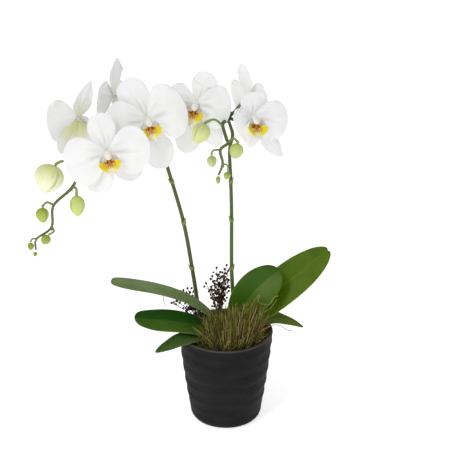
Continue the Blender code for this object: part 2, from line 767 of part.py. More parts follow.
BUDS = (
    Bud("bud_left_1", (-220.5, -25.0, 385.0), (-0.40, -0.25, -0.85), 37.0, 38.5),
    Bud("bud_left_2", (-195.0, -22.0, 342.0), (0.02, -0.1, -1.0), 27.5, 19.5),
    Bud("bud_left_3", (-240.5, -27.0, 327.0), (0.05, -0.25, -0.95), 19.5, 17.0),
    Bud("bud_left_4", (-234.5, -25.5, 287.0), (-0.5, -0.35, -0.8), 13.5, 12.5),
    Bud("bud_left_5", (-258.5, -28.5, 277.5), (0.02, -0.2, -1.0), 10.0, 8.6),
    Bud("bud_left_6", (-253.2, -25.5, 262.5), (-0.15, -0.1, -1.0), 6.0, 5.6),
    Bud("bud_right_1", (-26.5, -38.5, 446.5), (-0.4, -0.15, -0.9), 27.0, 23.5),
    Bud("bud_right_2", (16.5, -30.0, 416.5), (-0.3, -0.1, -0.95), 20.0, 17.5),
    Bud("bud_right_3", (-18.5, -35.0, 402.0), (0.1, -0.15, -0.98), 14.5, 12.6),
    Bud("bud_right_4", (3.0, -32.0, 378.5), (-0.25, -0.1, -0.97), 10.0, 9.0),
    Bud("bud_right_5", (-9.5, -33.5, 373.5), (-0.05, -0.1, -1.0), 10.0, 6.0),
)


def add_bud(bud, group):
    """An egg with a slightly pointed end, seamed where its three sepals meet."""
    shape = bmesh.new()
    big = bud.length > 12.0
    bmesh.ops.create_uvsphere(shape, u_segments=12 if big else 8, v_segments=8 if big else 6, radius=1.0)
    for vertex in shape.verts:
        x, y, z = vertex.co
        around = math.atan2(y, x)
        full = 1.0 - 0.045 * max(0.0, math.cos(3.0 * around)) ** 4
        taper = full * (1.0 + 0.16 * z - 0.05 * z * z)
        radius = 0.5 * bud.width * taper
        vertex.co = Vector((radius * x, radius * y, 0.5 * bud.length * z)) * MM
    item = object_of(shape, bud.name, BUD_LOOK, group)
    points = Vector(bud.points).normalized()
    turn = (-points).to_track_quat("Z", "Y").to_matrix().to_4x4()
    middle = Vector(bud.top) + points * (0.5 * bud.length + BUD_GAP)
    item.matrix_world = Matrix.Translation(in_metres(middle)) @ turn


def add_spikes(group, helpers):
    buds = {bud.name: bud.top for bud in BUDS}
    flowers = {flower.name: flower for flower in FLOWERS}
    left = [
        (pedicel(flowers["flower_4"], (-104.0, 15.0, 424.0), (-103.0, 6.0, 438.0)), PEDICEL_RADIUS),
        (pedicel(flowers["flower_3"], (-152.0, -1.0, 424.0), (-151.0, -24.0, 424.0)), PEDICEL_RADIUS),
        (pedicel(flowers["flower_1"], (-160.0, -6.0, 414.0), (-166.0, -6.0, 428.0)), PEDICEL_RADIUS),
        (pedicel(flowers["flower_2"], (-122.0, 11.0, 435.0), (-130.0, 15.0, 450.0)), PEDICEL_RADIUS),
        (
            [
                (-184.0, -14.5, 381.0, 1.0),
                (-196.0, -20.0, 388.0, 1.0),
                (-212.0, -24.0, 389.5, 1.0),
                (*buds["bud_left_1"], 1.1),
            ],
            1.4,
        ),
        ([(-200.5, -18.0, 351.5, 1.0), (-195.5, -20.5, 350.5, 1.0), (*buds["bud_left_2"], 1.1)], 1.3),
        ([(-225.5, -20.0, 326.5, 1.0), (-234.0, -25.0, 333.0, 1.0), (*buds["bud_left_3"], 1.1)], 1.2),
        ([(-230.3, -21.0, 297.0, 1.0), (-227.5, -24.0, 291.0, 1.0), (*buds["bud_left_4"], 1.1)], 1.0),
        ([(-250.5, -24.0, 280.5, 1.0), (-256.0, -27.0, 281.5, 1.0), (*buds["bud_left_5"], 1.0)], 0.9),
    ]
    joined_tubes("spike_left", with_rings(rounded(LEFT_STEM, 2)), left, group, helpers)
    hanging = [
        (3.9, 10.0, 434.0, 1.25),
        (-4.0, -14.0, 437.0, 1.2),
        (1.0, -24.0, 420.0, 1.15),
        (3.0, -26.0, 415.0, 1.1),
        (-7.0, -30.0, 407.0, 1.0),
        (-4.0, -31.0, 389.0, 0.9),
        (-9.5, -33.5, 374.0, 0.75),
    ]
    right = [
        (hanging, 1.5),
        (pedicel(flowers["flower_5"], (5.0, 11.0, 430.0), (-18.0, 26.0, 447.0)), PEDICEL_RADIUS),
        (pedicel(flowers["flower_6"], (5.0, 9.5, 437.0), (15.0, -2.0, 438.0)), THICK_PEDICEL_RADIUS),
        (pedicel(flowers["flower_7"], (5.5, 9.0, 440.0), (15.0, 10.5, 450.0), 7.0), THICK_PEDICEL_RADIUS),
        ([(-3.0, -16.0, 434.0, 1.0), (-14.0, -30.0, 448.0, 1.0), (*buds["bud_right_1"], 1.1)], 1.2),
        ([(3.0, -26.0, 416.0, 1.0), (10.0, -29.0, 422.5, 1.0), (*buds["bud_right_2"], 1.0)], 1.15),
        ([(-7.0, -30.0, 407.5, 1.0), (-16.0, -34.0, 408.0, 1.0), (*buds["bud_right_3"], 1.1)], 1.0),
        ([(-4.5, -31.5, 389.0, 1.0), (2.0, -32.0, 387.0, 1.0), (*buds["bud_right_4"], 1.0)], 0.8),
    ]
    joined_tubes("spike_right", with_rings(rounded(RIGHT_STEM, 2)), right, group, helpers)


# ---------------------------------------------------------------- berry sprays


def limb(group, start, end, first, last):
    """One straight three-sided length of twig."""
    along = in_metres(end) - in_metres(start)
    turn = along.to_track_quat("Z", "Y").to_matrix().to_4x4()
    matrix = Matrix.Translation((in_metres(start) + in_metres(end)) / 2.0) @ turn
    shape = bmesh.new()
    bmesh.ops.create_cone(
        shape, cap_ends=True, segments=3, radius1=first * MM, radius2=last * MM,
        depth=along.length + 0.6 * MM, matrix=matrix,
    )
    item = object_of(shape, f"limb_{len(bpy.data.objects)}", BERRY_LOOK, group)
    item.hide_render = True


def berry(group, place, radius):
    shape = bmesh.new()
    middle = Matrix.Translation(in_metres(place))
    bmesh.ops.create_icosphere(shape, subdivisions=1, radius=radius * MM, matrix=middle)
    item = object_of(shape, f"berry_{len(bpy.data.objects)}", BERRY_LOOK, group)
    item.hide_render = True


def add_spray(name, foot, tips, forks, group, helpers):
    """A dried spray: twigs from one foot, each with short forks that end in a berry."""
    foot = Vector(foot)
    root = bmesh.new()
    matrix = Matrix.Translation(in_metres(foot))
    bmesh.ops.create_icosphere(root, subdivisions=1, radius=1.8 * MM, matrix=matrix)
    spray = object_of(root, name, BERRY_LOOK, group)
    twigs = bpy.data.collections.new(f"{name}_twigs")
    helpers.children.link(twigs)
    for i, tip in enumerate(tips):
        tip = Vector(tip)
        knee = foot.lerp(tip, 0.55) + Vector((0.08 * (foot.x - tip.x), 0.0, 4.0))
        limb(twigs, foot, knee, 0.85, 0.7)
        limb(twigs, knee, tip, 0.7, 0.55)
        berry(twigs, tip, 1.7)
        for j in range(forks):
            share = (j + 0.6) / forks
            start = knee.lerp(tip, share)
            turn = 2.4 * j + 1.9 * i
            rise = 4.5 + 1.5 * math.sin(3.1 * j + i)
            end = start + Vector((6.5 * math.cos(turn), 3.5 * math.sin(turn), rise))
            limb(twigs, start, end, 0.55, 0.5)
            berry(twigs, end, 1.6 + 0.25 * math.sin(1.7 * i + j))
    join = spray.modifiers.new("Twigs", "BOOLEAN")
    join.operation = "UNION"
    join.solver = "EXACT"
    join.operand_type = "COLLECTION"
    join.collection = twigs
    join.use_self = True


def main():
    clear_scene()
    parts = new_collection(NAME)
    helpers = new_collection("cutters", hidden=True)
    turned("pot", pot_profile(), POT_STEPS, POT_LOOK, parts)
    add_bark(parts, helpers)
    add_moss(parts, helpers)
    for leaf in LEAVES:
        add_leaf(leaf, parts)
    for flower in FLOWERS:
        add_flower(flower, parts)
    for bud in BUDS:
        add_bud(bud, parts)
    add_spikes(parts, helpers)
    add_spray("berry_spray_right", RIGHT_SPRAY_FOOT, RIGHT_SPRAY_TIPS, SPRAY_FORKS, parts, helpers)
    add_spray("berry_spray_left", LEFT_SPRAY_FOOT, LEFT_SPRAY_TIPS, SPRAY_FORKS, parts, helpers)


main()
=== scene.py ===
"""The looks of the potted moth orchid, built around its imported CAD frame.

Sizes are in millimetres in the CAD's own frame: origin at the middle of the pot's base, +Z up, the front
towards -Y.
"""

import math
from dataclasses import dataclass

import bmesh
import bpy
import numpy as np
from mathutils import Matrix, Vector


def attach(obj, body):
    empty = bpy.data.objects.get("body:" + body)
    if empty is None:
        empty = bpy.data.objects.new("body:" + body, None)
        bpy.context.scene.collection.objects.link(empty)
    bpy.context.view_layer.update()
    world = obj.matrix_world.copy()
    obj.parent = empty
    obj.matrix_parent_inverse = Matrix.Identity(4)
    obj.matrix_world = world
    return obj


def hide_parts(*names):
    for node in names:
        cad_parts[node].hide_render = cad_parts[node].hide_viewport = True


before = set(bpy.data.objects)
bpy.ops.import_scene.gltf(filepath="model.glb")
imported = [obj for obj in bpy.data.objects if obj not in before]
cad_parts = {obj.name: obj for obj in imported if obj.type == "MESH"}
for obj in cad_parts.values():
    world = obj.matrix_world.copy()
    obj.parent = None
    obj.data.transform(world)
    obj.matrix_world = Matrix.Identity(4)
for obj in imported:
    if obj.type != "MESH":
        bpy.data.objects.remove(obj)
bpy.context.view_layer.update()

MM = 0.001
SEED = 11

# The camera, a long lens looking down at the plant.
CAMERA_PLACE = (0.0016, -1.5, 0.93)
CAMERA_PITCH = 66.8
CAMERA_LENS = 96.42
CAMERA_SENSOR = 36.0

# The studio: half the side of the floor in metres, and the lights as name, place, aim, size and power.
FLOOR_REACH = 14.0
LIGHTS = (
    ("key", (-1.3, -1.7, 2.2), (-0.05, 0.0, 0.3), 1.0, 24.0),
    ("fill", (1.9, -1.2, 1.4), (-0.05, 0.0, 0.3), 1.8, 2.5),
    ("back", (0.3, 1.8, 1.9), (-0.05, 0.0, 0.35), 1.6, 2.5),
)

# The pot, as in the CAD, with its ripples a little uneven.
POT_HEIGHT = 132.0
POT_RIM_RADIUS = 65.5
POT_FOOT_RADIUS = 43.6
POT_LOW_RADIUS = 50.6
POT_LOW_HEIGHT = 13.0
POT_WALL = 4.4
POT_FLOOR = 8.0
POT_INNER_FOOT = 43.0
POT_BELLY = 1.1
RIPPLES = 6
BARK_TOP = 117.0
BARK_CHIPS = 230
MOSS_BOTTOM = 121.0
MOSS_ARC_MIDDLE = -72.0
MOSS_ARC_REACH = 60.0
MOSS_RADIUS = 38.5
MOSS_HALF_DEPTH = 17.0
MOSS_STRANDS = 1900
MOSS_FELT = 320
MOSS_EDGE = 230
GOLDEN_TURN = 2.39996

SEPAL_SETBACK = 2.3
LATERAL_SEPAL_SEAT = (0.0, -3.2, -SEPAL_SETBACK)
DORSAL_SEPAL_SEAT = (0.0, 1.2, -SEPAL_SETBACK)
COLUMN_NOD = 0.036
STEM_RADIUS = 2.8


@dataclass(frozen=True)
class Blade:
    """One tepal in its flower's frame: X to the viewer's right, Y up, Z towards the viewer."""

    angle: float
    length: float
    half_width: float
    lean: float = 0.0
    twist: float = 0.0
    curl: float = 0.0
    bulge: float = 3.0
    peak: float = 0.6
    claw: float = 3.4
    widening: float = 1.0  # above 1 it stays narrow for longer
    full: float = 2.0  # 2 ends in an ellipse, more is blunter and less is more pointed
    ruffle: float = 0.7
    crease: float = 0.8
    fold: float = 0.0  # a sharp forward step across it


@dataclass(frozen=True)
class Flower:
    """A flower's middle, the way it faces, and its five tepals."""

    name: str
    middle: tuple
    azimuth: float
    elevation: float
    roll: float
    dorsal: Blade
    right_petal: Blade
    left_petal: Blade
    right_sepal: Blade
    left_sepal: Blade
    lip_size: float = 1.0
    back_tint: float = 0.0  # how yellow-green the backs of its sepals are near the stalk


@dataclass(frozen=True)
class Leaf:
    """A leaf along a bend drawn by four places, rolled about its own length."""

    name: str
    root: tuple
    first_pull: tuple
    second_pull: tuple
    tip: tuple
    half_width: float
    root_half_width: float
    root_roll: float
    tip_roll: float
    fold: float
    peak: float = 0.6
    full: float = 2.2
    top: tuple = (70, 110, 40)
    # painted light and shade: the colour of the half beyond the midrib, darker or lighter as the fold turns
    # it from the light
    far_half_light_and_shade: tuple = (60, 100, 35)
    under: tuple = (110, 130, 80)
    sheen: float = 0.3
    notch: float = 0.0


@dataclass(frozen=True)
class Bud:
    """A bud hanging from the end of its stalk."""

    name: str
    top: tuple
    points: tuple
    length: float
    width: float
    base: tuple
    tip: tuple


def low_sepal(angle, length, half_width, lean, full=2.0):
    """A lateral sepal, narrow where it meets its partner."""
    return Blade(angle, length, half_width, lean=lean, bulge=1.5, claw=1.5, widening=1.5, full=full)


FLOWERS = (
    Flower(
        "flower_1", (-192.0, 4.0, 441.0), -150.0, 8.0, -4.0,
        dorsal=Blade(109.0, 53.0, 13.0, lean=-8.0, bulge=1.5, peak=0.36, full=1.35),
        right_petal=Blade(-5.0, 42.0, 32.0, lean=4.0, bulge=2.5),
        left_petal=Blade(242.0, 24.0, 11.0, bulge=2.0),
        right_sepal=low_sepal(-53.0, 50.0, 15.0, lean=-5.0, full=1.5),
        left_sepal=low_sepal(-118.0, 44.0, 15.0, lean=-13.0),
        back_tint=1.0,
    ),
    Flower(
        "flower_2", (-147.0, 28.0, 462.0), -107.0, 6.0, -4.0,
        dorsal=Blade(92.0, 51.0, 16.5, lean=0.0, twist=-6.0, bulge=1.5, full=1.5),
        right_petal=Blade(8.0, 48.0, 25.0, lean=4.0, bulge=2.5),
        left_petal=Blade(204.0, 40.0, 22.0, lean=4.0, bulge=2.5),
        right_sepal=low_sepal(-66.0, 44.0, 15.0, lean=-5.0),
        left_sepal=low_sepal(-122.0, 44.0, 15.0, lean=-13.0),
        back_tint=0.5,
    ),
    Flower(
        "flower_3", (-148.0, -62.0, 415.0), 6.0, 10.0, 10.0,
        dorsal=Blade(92.0, 50.0, 18.0, lean=-6.0, bulge=1.5),
        right_petal=Blade(-4.0, 54.0, 31.0, lean=2.0, peak=0.56),
        left_petal=Blade(187.0, 56.0, 32.0, lean=2.0),
        right_sepal=low_sepal(-47.0, 50.0, 17.0, lean=-8.0),
        left_sepal=low_sepal(-121.0, 54.0, 18.0, lean=-8.0),
    ),
    Flower(
        "flower_4", (-99.0, -24.0, 446.0), 8.0, 8.0, 12.0,
        dorsal=Blade(107.0, 56.5, 19.5, lean=-6.0, bulge=1.5, full=2.5),
        right_petal=Blade(10.0, 51.5, 37.0, lean=2.0, peak=0.52),
        left_petal=Blade(176.0, 54.0, 31.0, lean=2.0),
        right_sepal=low_sepal(-85.0, 65.5, 20.0, lean=-4.0),
        left_sepal=low_sepal(-140.0, 50.0, 17.0, lean=-14.0),
    ),
    Flower(
        "flower_5", (-38.0, 6.0, 457.5), -8.0, 8.0, -10.0,
        dorsal=Blade(78.0, 42.5, 16.5, lean=-4.0, bulge=1.5, curl=6.0, fold=2.6, full=2.4),
        right_petal=Blade(3.0, 46.0, 29.0, lean=2.0),
        left_petal=Blade(184.0, 39.0, 24.5, lean=2.0),
        right_sepal=low_sepal(-52.0, 65.0, 14.0, lean=-13.0, full=1.6),
        left_sepal=low_sepal(-94.0, 66.0, 18.0, lean=-4.0),
    ),
    Flower(
        "flower_6", (34.0, -38.0, 453.0), 26.0, 12.0, -6.0,
        dorsal=Blade(87.0, 31.5, 18.0, lean=-2.0, bulge=1.5, curl=4.0),
        right_petal=Blade(-7.0, 46.0, 25.0, lean=12.0),
        left_petal=Blade(206.0, 31.0, 22.0, lean=14.0),
        right_sepal=low_sepal(-43.0, 76.0, 12.0, lean=-14.0, full=1.3),
        left_sepal=low_sepal(-90.0, 36.0, 12.0, lean=-5.0, full=1.6),
    ),
    Flower(
        "flower_7", (30.0, 22.0, 462.0), 124.0, 8.0, 6.0,
        dorsal=Blade(92.0, 48.0, 15.0, lean=-6.0, bulge=1.5),
        right_petal=Blade(-24.0, 48.0, 25.0, lean=4.0, bulge=2.5),
        left_petal=Blade(178.0, 40.0, 27.0, lean=4.0, bulge=2.5),
        right_sepal=low_sepal(-62.0, 42.0, 14.0, lean=-5.0),
        left_sepal=low_sepal(-120.0, 40.0, 14.0, lean=-13.0),
        back_tint=0.4,
    ),
)

LEAVES = (
    Leaf(
        "leaf_left_upper",
        (-10.0, 2.0, 122.0), (-12.0, 0.0, 175.0), (-85.0, -2.0, 196.0), (-157.0, 0.0, 207.0),
        half_width=14.0, root_half_width=7.0, root_roll=4.0, tip_roll=8.0, fold=2.5, peak=0.78, full=2.9,
        top=(108, 132, 70), far_half_light_and_shade=(112, 136, 76), under=(96, 118, 60), sheen=0.35,
    ),
    Leaf(
        "leaf_left_middle",
        (-17.0, -5.0, 122.0), (-22.0, -9.0, 147.0), (-80.0, -25.0, 157.0), (-123.0, -40.0, 170.0),
        half_width=20.5, root_half_width=11.0, root_roll=20.0, tip_roll=24.0, fold=3.5, peak=0.62, full=2.4,
        top=(68, 104, 14), far_half_light_and_shade=(30, 82, 2), under=(80, 112, 36), sheen=0.12,
    ),
    Leaf(
        "leaf_left_lower",
        (-28.0, -15.0, 120.5), (-36.0, -30.0, 143.0), (-68.0, -50.0, 142.0), (-95.0, -60.0, 129.0),
        half_width=12.5, root_half_width=5.0, root_roll=10.0, tip_roll=16.0, fold=2.5, peak=0.58, full=1.45,
        top=(74, 102, 38), far_half_light_and_shade=(62, 92, 34), under=(80, 105, 50), sheen=0.2,
    ),
    Leaf(
        "leaf_right_front",
        (11.0, 0.0, 123.0), (18.0, -1.0, 165.0), (38.0, 5.0, 194.0), (75.0, 16.0, 214.0),
        half_width=27.0, root_half_width=7.0, root_roll=62.0, tip_roll=42.0, fold=3.0, peak=0.62, full=2.2,
        top=(82, 112, 22), far_half_light_and_shade=(60, 98, 6), under=(98, 124, 46), sheen=0.05,
    ),
    Leaf(
        "leaf_right_back",
        (18.0, 12.0, 122.0), (40.0, 14.0, 159.0), (93.0, 30.0, 197.0), (144.0, 45.0, 234.0),
        half_width=26.0, root_half_width=7.0, root_roll=52.0, tip_roll=44.0, fold=3.5, peak=0.62, full=1.95,
        top=(88, 116, 4), far_half_light_and_shade=(82, 112, 2), under=(100, 126, 40), sheen=0.02, notch=2.0,
    ),
    Leaf(
        "leaf_right_low",
        (33.0, 13.0, 121.0), (42.0, 16.0, 149.0), (78.0, 19.0, 145.0), (109.0, 20.0, 125.0),
        half_width=14.0, root_half_width=6.0, root_roll=18.0, tip_roll=16.0, fold=2.5, peak=0.45, full=1.35,
        top=(98, 120, 26), far_half_light_and_shade=(92, 114, 24), under=(96, 118, 44), sheen=0.06,
    ),
)

LEFT_STEM = (
    (-31.0, 24.0, 100.0, 1.1),
    (-39.5, 24.0, 160.0, 1.05),
    (-45.6, 24.0, 207.0, 1.0),
    (-57.4, 22.4, 284.0, 0.95),
    (-76.6, 18.0, 362.0, 0.9),
    (-88.4, 16.0, 404.0, 0.85),
    (-108.0, 14.0, 428.0, 0.8),
    (-136.0, 6.0, 434.0, 0.75),
    (-160.0, -6.0, 414.0, 0.78),
    (-184.5, -14.5, 381.0, 0.76),
    (-201.5, -18.0, 350.5, 0.74),
    (-226.5, -20.0, 326.0, 0.66),
    (-230.5, -21.0, 296.0, 0.6),
    (-251.0, -24.0, 280.0, 0.5),
    (-252.5, -25.0, 265.0, 0.42),
)
RIGHT_STEM = (
    (12.0, 27.0, 100.0, 1.05),
    (10.6, 26.0, 160.0, 1.0),
    (8.0, 26.0, 214.0, 0.95),
    (7.8, 24.0, 296.0, 0.9),
    (6.5, 21.0, 350.0, 0.85),
    (5.0, 20.0, 389.0, 0.8),
    (9.0, 16.0, 412.0, 0.85),
    (4.0, 10.0, 434.0, 0.7),
    (7.0, 8.0, 446.0, 0.6),
)
HANGING_STEM = (
    (3.9, 10.0, 434.0, 0.85),
    (-4.0, -14.0, 437.0, 0.82),
    (1.0, -24.0, 420.0, 0.8),
    (3.0, -26.0, 415.0, 0.76),
    (-7.0, -30.0, 407.0, 0.7),
    (-4.0, -31.0, 389.0, 0.62),
    (-9.5, -33.5, 374.0, 0.5),
)
NODE_HEIGHTS = (212.0, 288.0, 345.0)

CREAM, PALE_CREAM = (226, 230, 158), (246, 244, 212)
MILKY_LIME, LIME, GREEN = (206, 216, 148), (196, 212, 116), (150, 172, 62)
SAGE, PALE_SAGE = (184, 198, 124), (206, 206, 150)
BUDS = (
    Bud("bud_left_1", (-220.5, -25.0, 385.0), (-0.40, -0.25, -0.85), 37.0, 38.5, CREAM, PALE_CREAM),
    Bud("bud_left_2", (-195.0, -22.0, 342.0), (0.02, -0.1, -1.0), 27.5, 19.5, LIME, (212, 220, 138)),
    Bud("bud_left_3", (-240.5, -27.0, 327.0), (0.05, -0.25, -0.95), 19.5, 17.0, GREEN, (186, 200, 92)),
    Bud("bud_left_4", (-234.5, -25.5, 287.0), (-0.5, -0.35, -0.8), 13.5, 12.5, GREEN, (170, 182, 84)),
    Bud("bud_left_5", (-258.5, -28.5, 277.5), (0.02, -0.2, -1.0), 10.0, 8.6, GREEN, (160, 176, 70)),
    Bud("bud_left_6", (-253.2, -25.5, 262.5), (-0.15, -0.1, -1.0), 6.0, 5.6, GREEN, (150, 165, 60)),
    Bud("bud_right_1", (-26.5, -38.5, 446.5), (-0.4, -0.15, -0.9), 27.0, 23.5, MILKY_LIME, (222, 228, 160)),
    Bud("bud_right_2", (16.5, -30.0, 416.5), (-0.3, -0.1, -0.95), 20.0, 17.5, LIME, (200, 206, 136)),
    Bud("bud_right_3", (-18.5, -35.0, 402.0), (0.1, -0.15, -0.98), 14.5, 12.6, SAGE, PALE_SAGE),
    Bud("bud_right_4", (3.0, -32.0, 378.5), (-0.25, -0.1, -0.97), 10.0, 9.0, GREEN, (196, 200, 130)),
    Bud("bud_right_5", (-9.5, -33.5, 373.5), (-0.05, -0.1, -1.0), 10.0, 6.0, GREEN, (168, 170, 100)),
)

# Where the twigs of the two dried sprays end.
RIGHT_SPRAY_TIPS = (
    (1.0, 40.0, 212.0), (-8.0, 43.0, 200.0), (-19.0, 38.0, 196.0), (-28.0, 42.0, 183.0),
    (4.0, 38.0, 190.0), (-13.0, 40.0, 208.0), (-2.0, 44.0, 204.0), (-22.0, 44.0, 172.0),
    (-6.0, 36.0, 184.0), (-12.0, 42.0, 190.0), (3.0, 42.0, 202.0),
)
LEFT_SPRAY_TIPS = (
    (-77.0, 38.0, 154.0), (-66.0, 40.0, 168.0), (-54.0, 38.0, 177.0), (-47.0, 40.0, 164.0),
    (-60.0, 42.0, 172.0), (-70.0, 36.0, 158.0), (-52.0, 36.0, 156.0),
)

# Grass that has strayed from the clump: its places, its radius and its display colour.
STRAY_STRANDS = (
    (
        (
            (29, -12, 160), (36, -12, 176), (41, -11, 186), (46, -11, 190), (44, -11, 182),
            (48, -11, 178), (60, -10, 176), (66, -9, 186), (72, -8, 188),
        ),
        0.42,
        (172, 170, 96),
    ),
    (((52, -14, 166), (60, -12, 170), (66, -11, 178), (70, -10, 184)), 0.38, (172, 170, 96)),
    (((58, -2, 138), (68, -2, 140), (76, -2, 139), (84, -4, 134), (92, -4, 132)), 0.45, (120, 108, 92)),
    (((-32, 20, 168), (-40, 24, 180), (-52, 26, 186), (-68, 28, 187), (-76, 28, 184)), 0.24, (214, 208, 186)),
    (((-84, 34, 150), (-88, 34, 162), (-86, 34, 172)), 0.4, (104, 82, 62)),
)


# ---------------------------------------------------------------- small helpers


def tone(red, green, blue):
    """A display colour, each part 0 to 255, as linear light."""
    parts = np.array((red, green, blue), float) / 255.0
    return np.where(parts <= 0.04045, parts / 12.92, ((parts + 0.055) / 1.055) ** 2.4)


def smooth_step(t):
    t = np.clip(t, 0.0, 1.0)
    return t * t * (3.0 - 2.0 * t)


def unit(rows):
    return rows / (np.linalg.norm(rows, axis=-1, keepdims=True) + 1e-12)


def mixed(first, second, share):
    """Colours between two, for an array of shares."""
    share = np.asarray(share)[..., None]
    return np.asarray(first) * (1.0 - share) + np.asarray(second) * share


def bump(s, centre, reach):
    """1 at the centre, falling smoothly to 0 at this reach either side."""
    return smooth_step(1.0 - np.abs(s - centre) / reach)


def ridge(u, centre, width):
    """1 at the centre, falling off like a bell of this width."""
    return np.exp(-(((u - centre) / width) ** 2))


def sheet(rows, columns):
    """A grid of shares: along from 0 to 1, and across from -1 to 1."""
    return np.meshgrid(np.linspace(0.0, 1.0, rows), np.linspace(-1.0, 1.0, columns), indexing="ij")


def rings(rows, columns, gap=0.0):
    """A grid of shares from end to end, less a gap at each, and of angles right round."""
    turn = np.linspace(0.0, 2.0 * math.pi, columns, endpoint=False)
    return np.meshgrid(np.linspace(gap, 1.0 - gap, rows), turn, indexing="ij")


def ring_faces(rows, columns):
    """The faces of rings joined one to the next, with both ends capped."""
    index = np.arange(rows * columns).reshape(rows, columns)
    after = np.roll(index, -1, axis=1)
    quads = np.stack([index[:-1], after[:-1], after[1:], index[1:]], -1).reshape(-1, 4)
    return [tuple(quad) for quad in quads] + [tuple(index[0][::-1]), tuple(index[-1])]


# ---------------------------------------------------------------- mesh building


class Shape:
    """Gathers closed surfaces into one mesh, each point in millimetres with its UV and its tint."""

    UV_LENGTH = 20.0  # millimetres of a tube to one unit of its UV

    def __init__(self):
        self.points, self.faces, self.uvs, self.tints = [], [], [], []
        self.count = 0

    def add(self, points, faces, uv, tint):
        points = np.asarray(points, float).reshape(-1, 3)
        self.points.append(points)
        self.faces += [tuple(int(i) + self.count for i in face) for face in faces]
        self.uvs.append(np.broadcast_to(uv, (len(points), 2)))
        self.tints.append(np.broadcast_to(tint, (len(points), 3)))
        self.count += len(points)

    def slab(self, middle, thickness, uv, tint):
        """A thin closed sheet about a grid of points. The tint is one for both faces, or a pair."""
        rows, columns, _ = middle.shape
        along, across = np.gradient(middle, axis=0), np.gradient(middle, axis=1)
        normal = unit(np.cross(along, across))
        half = 0.5 * np.broadcast_to(thickness, (rows, columns))[..., None]
        index = np.arange(rows * columns).reshape(rows, columns)
        quads = np.stack([index[:-1, :-1], index[1:, :-1], index[1:, 1:], index[:-1, 1:]], -1).reshape(-1, 4)
        rim = np.concatenate([index[0, :-1], index[:-1, -1], index[-1, :0:-1], index[:0:-1, 0]])
        below = rows * columns
        sides = np.stack([rim, np.roll(rim, -1), np.roll(rim, -1) + below, rim + below], -1)
        points = np.stack([middle + normal * half, middle - normal * half]).reshape(-1, 3)
        uv = np.broadcast_to(uv, (rows, columns, 2)).reshape(-1, 2)
        pair = tint if isinstance(tint, tuple) else (tint, tint)
        tints = np.stack([np.broadcast_to(colour, (rows, columns, 3)) for colour in pair]).reshape(-1, 3)
        self.add(points, np.concatenate([quads, quads[:, ::-1] + below, sides]), np.tile(uv, (2, 1)), tints)

    def tube(self, path, radii, sides, tint, flat=1.0):
        """A closed tube along the path. Flat squeezes it in one direction, as a blade of grass."""
        path = np.asarray(path, float)
        radii = np.broadcast_to(radii, len(path))
        heading = unit(np.gradient(path, axis=0))
        side = unit(np.cross(heading[0], (0.31, 0.95, 0.07)))
        turn = np.linspace(0.0, 2.0 * math.pi, sides, endpoint=False)[:, None]
        circles = []
        for place, ahead, radius in zip(path, heading, radii):
            side = unit(side - ahead * np.dot(side, ahead))
            other = np.cross(ahead, side)
            circles.append(place + radius * (np.cos(turn) * side + flat * np.sin(turn) * other))
        steps = np.concatenate([[0.0], np.cumsum(np.linalg.norm(np.diff(path, axis=0), axis=1))])
        uv = np.meshgrid(steps / self.UV_LENGTH, np.linspace(0.0, 1.0, sides), indexing="ij")
        tint = np.asarray(tint, float)
        if tint.ndim == 2:
            tint = np.repeat(tint, sides, axis=0)
        self.add(circles, ring_faces(len(path), sides), np.stack(uv, -1).reshape(-1, 2), tint)

    def made(self, name, slot, material, stands_for=(), place=None):
        """The object in the scene, in metres and facing out."""
        points = np.concatenate(self.points) * MM
        mesh = bpy.data.meshes.new(name)
        mesh.from_pydata(points.tolist(), [], self.faces)
        layer = mesh.uv_layers.new(name="Along")
        corners = np.empty(len(mesh.loops), np.int32)
        mesh.loops.foreach_get("vertex_index", corners)
        layer.data.foreach_set("uv", np.concatenate(self.uvs)[corners].astype(np.float32).ravel())
        tint = mesh.attributes.new("Tint", "FLOAT_COLOR", "POINT")
        colours = np.ones((len(points), 4), np.float32)
        colours[:, :3] = np.concatenate(self.tints)
        tint.data.foreach_set("color", colours.ravel())
        if place is not None:
            mesh.transform(place)
        tidy = bmesh.new()
        tidy.from_mesh(mesh)
        bmesh.ops.recalc_face_normals(tidy, faces=tidy.faces)
        tidy.to_mesh(mesh)
        tidy.free()
        mesh.polygons.foreach_set("use_smooth", np.ones(len(mesh.polygons), bool))
        mesh.materials.append(material)
        item = bpy.data.objects.new(name, mesh)
        bpy.context.scene.collection.objects.link(item)
        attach(item, "root")
        if stands_for:
            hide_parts(*stands_for)
        return item


def rounded(places, steps):
    """A smooth Catmull-Rom path through the places."""
    places = np.asarray(places, float)
    ends = np.concatenate([places[:1], places, places[-1:]])
    found = []
    for before, start, end, after in zip(ends, ends[1:], ends[2:], ends[3:]):
        t = np.linspace(0.0, 1.0, steps, endpoint=False)[:, None]
        squared = (2.0 * before - 5.0 * start + 4.0 * end - after) * t**2
        cubed = (3.0 * start - before - 3.0 * end + after) * t**3
        found.append(0.5 * (2.0 * start + (end - before) * t + squared + cubed))
    return np.concatenate([*found, places[-1:]])


# ---------------------------------------------------------------- materials


def new_material(name, roughness, specular=0.5):
    material = bpy.data.materials.new(name)
    material.use_nodes = True
    shader = material.node_tree.nodes["Principled BSDF"]
    shader.inputs["Roughness"].default_value = roughness
    shader.inputs["Specular IOR Level"].default_value = specular
    return material, shader


def node(material, kind, **values):
    """A new node; each value sets the input of that name."""
    made = material.node_tree.nodes.new(kind)
    for name, value in values.items():
        made.inputs[name.replace("_", " ")].default_value = value
    return made


def link(material, source, output, target, socket):
    material.node_tree.links.new(source.outputs[output], target.inputs[socket])


